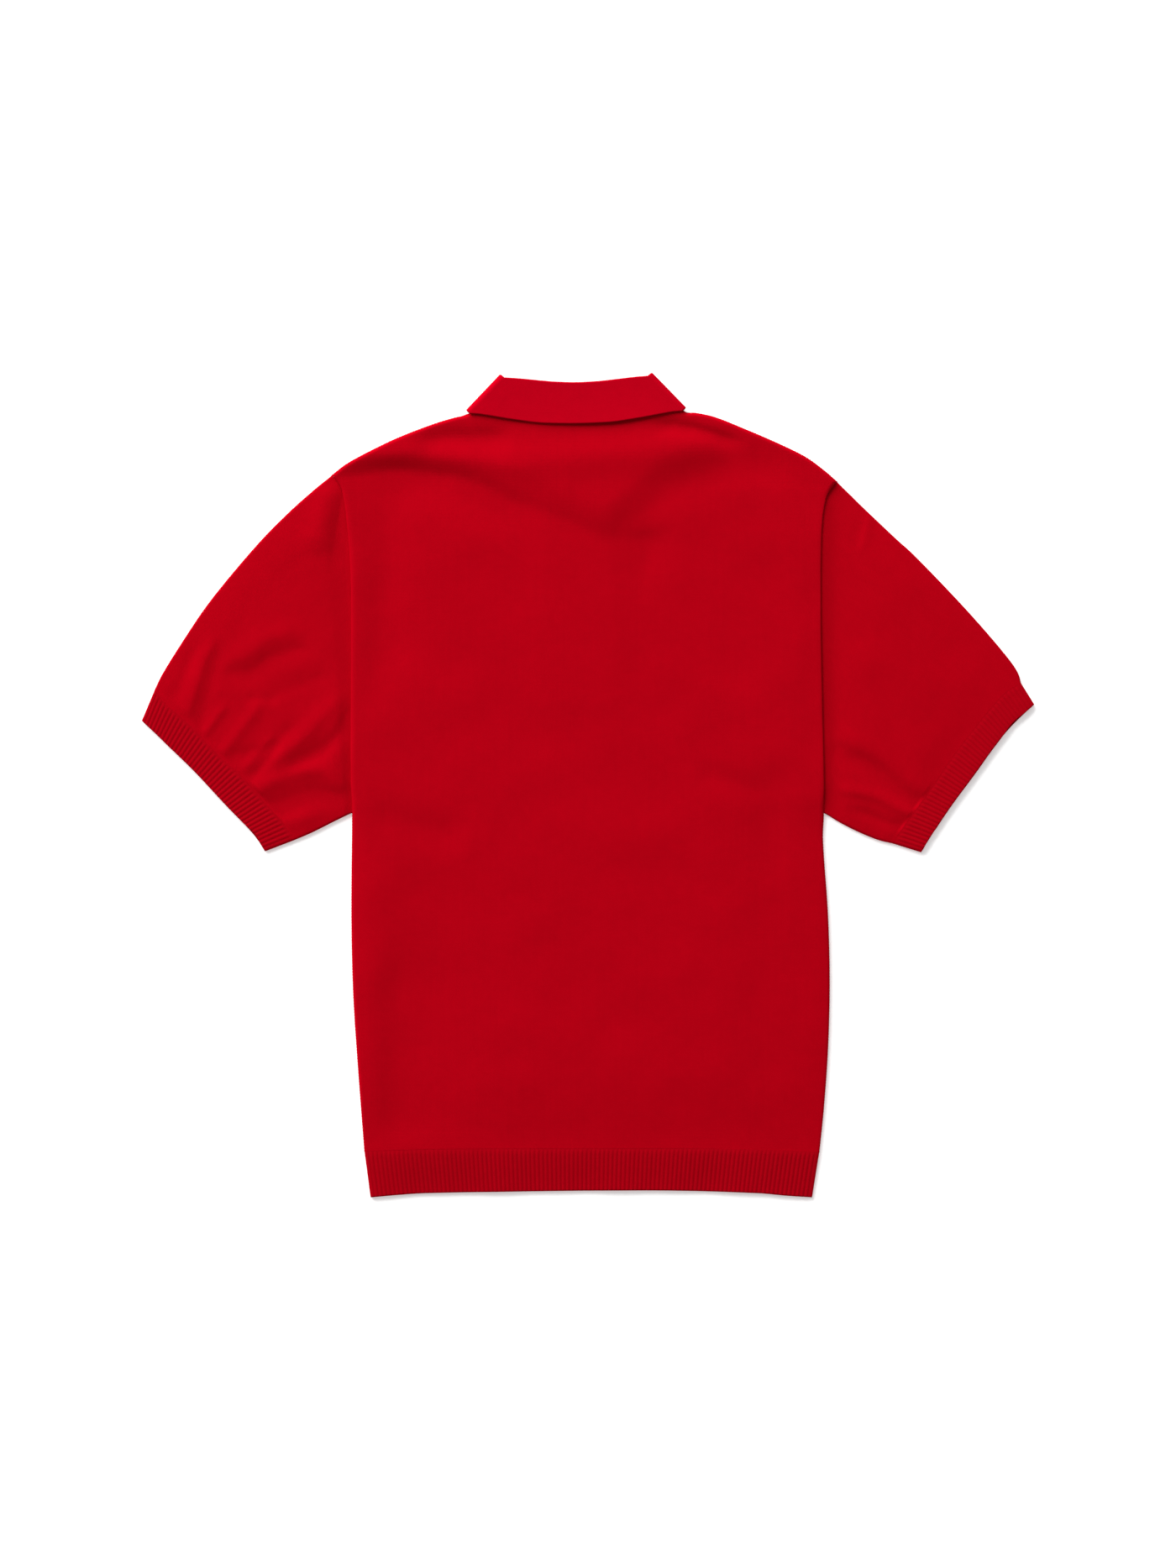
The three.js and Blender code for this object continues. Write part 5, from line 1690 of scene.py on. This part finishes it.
class ShirtSizes(bpy.types.PropertyGroup):
    """Sizes that change the shirt's forms"""

    fold_depth: bpy.props.FloatProperty(
        name="Fold depth", description="How deep the soft folds are", default=1.0, min=0, max=1.4, subtype="FACTOR"
    )
    rib_height: bpy.props.FloatProperty(
        name="Rib height", description="Height of the ribs over the cloth", default=0.00035, min=0, max=0.0008,
        precision=5, unit="LENGTH",
    )
    rib_fullness: bpy.props.FloatProperty(
        name="Rib fullness", description="Lower values make the ribs wider at the top", default=0.6, min=0.2, max=2
    )
    stitch_pitch: bpy.props.FloatProperty(
        name="Stitch pitch", description="Distance from stitch to stitch", default=0.0026, min=0.001, max=0.006,
        precision=5, unit="LENGTH",
    )
    thread_thickness: bpy.props.FloatProperty(
        name="Thread thickness", description="Thickness of the sewing thread", default=0.0005, min=0.0002,
        max=0.001, precision=5, unit="LENGTH",
    )


class ShirtColours(bpy.types.PropertyGroup):
    """Dye colours"""

    body: colour_property("Body", "Dye of the body and placket", (0.416, 0.0004, 0.0066))
    sleeve: colour_property("Sleeves", "Dye of the sleeves", (0.412, 0.0004, 0.0064))
    # The ribs' dye is set darker than the body's, which paints the shade of the ribbed hem and cuffs.
    rib: colour_property("Ribs", "Dye of the hem and cuffs", (0.372, 0.0007, 0.0062))
    collar: colour_property("Collar", "Dye of the collar", (0.432, 0.0004, 0.0085))
    button: colour_property("Buttons", "Colour of the resin buttons", (0.2, 0.006, 0.012))
    thread: colour_property("Thread", "Dye of the sewing thread", (0.37, 0.0004, 0.0056))


class ShirtStage(bpy.types.PropertyGroup):
    """Floor and light"""

    floor: colour_property("Floor", "Colour of the floor", (0.95, 0.95, 0.95))
    fill: bpy.props.FloatProperty(
        name="Fill light", description="Strength of the light from all round", default=0.33, min=0
    )
    key: bpy.props.FloatProperty(
        name="Key light", description="Power of the large soft light", default=2720.0, min=0, unit="POWER"
    )
    top: bpy.props.FloatProperty(
        name="Top light", description="Power of the light beyond the collar", default=19.0, min=0, unit="POWER"
    )


class SHIRT_PT_panel(bpy.types.Panel):
    """Lists the shirt's sizes, colours and steps"""

    bl_idname = "SHIRT_PT_panel"
    bl_label = "Knitted polo shirt"
    bl_space_type = "VIEW_3D"
    bl_region_type = "UI"
    bl_category = "Shirt"

    def draw(self, context):
        for group in (context.scene.shirt_sizes, context.scene.shirt_colours, context.scene.shirt_stage):
            box = self.layout.box()
            for name in group.bl_rna.properties.keys():
                if name not in ("name", "rna_type"):
                    box.prop(group, name)
        for step in STEPS:
            self.layout.operator(step.bl_idname)


STEPS = (
    SHIRT_OT_front, SHIRT_OT_placket, SHIRT_OT_buttons, SHIRT_OT_back, SHIRT_OT_sleeves, SHIRT_OT_hem,
    SHIRT_OT_cuffs, SHIRT_OT_collar, SHIRT_OT_seams, SHIRT_OT_stage,
)
GROUPS = {"shirt_sizes": ShirtSizes, "shirt_colours": ShirtColours, "shirt_stage": ShirtStage}


def register():
    for kind in (*GROUPS.values(), *STEPS, SHIRT_PT_panel):
        bpy.utils.register_class(kind)
    for name, kind in GROUPS.items():
        setattr(bpy.types.Scene, name, bpy.props.PointerProperty(type=kind))


def unregister():
    for name in GROUPS:
        delattr(bpy.types.Scene, name)
    for kind in (SHIRT_PT_panel, *reversed(STEPS), *GROUPS.values()):
        bpy.utils.unregister_class(kind)


def main():
    register()
    for step in STEPS:
        getattr(bpy.ops.shirt, step.bl_idname.split(".")[1])()


if __name__ == "__main__":
    main()
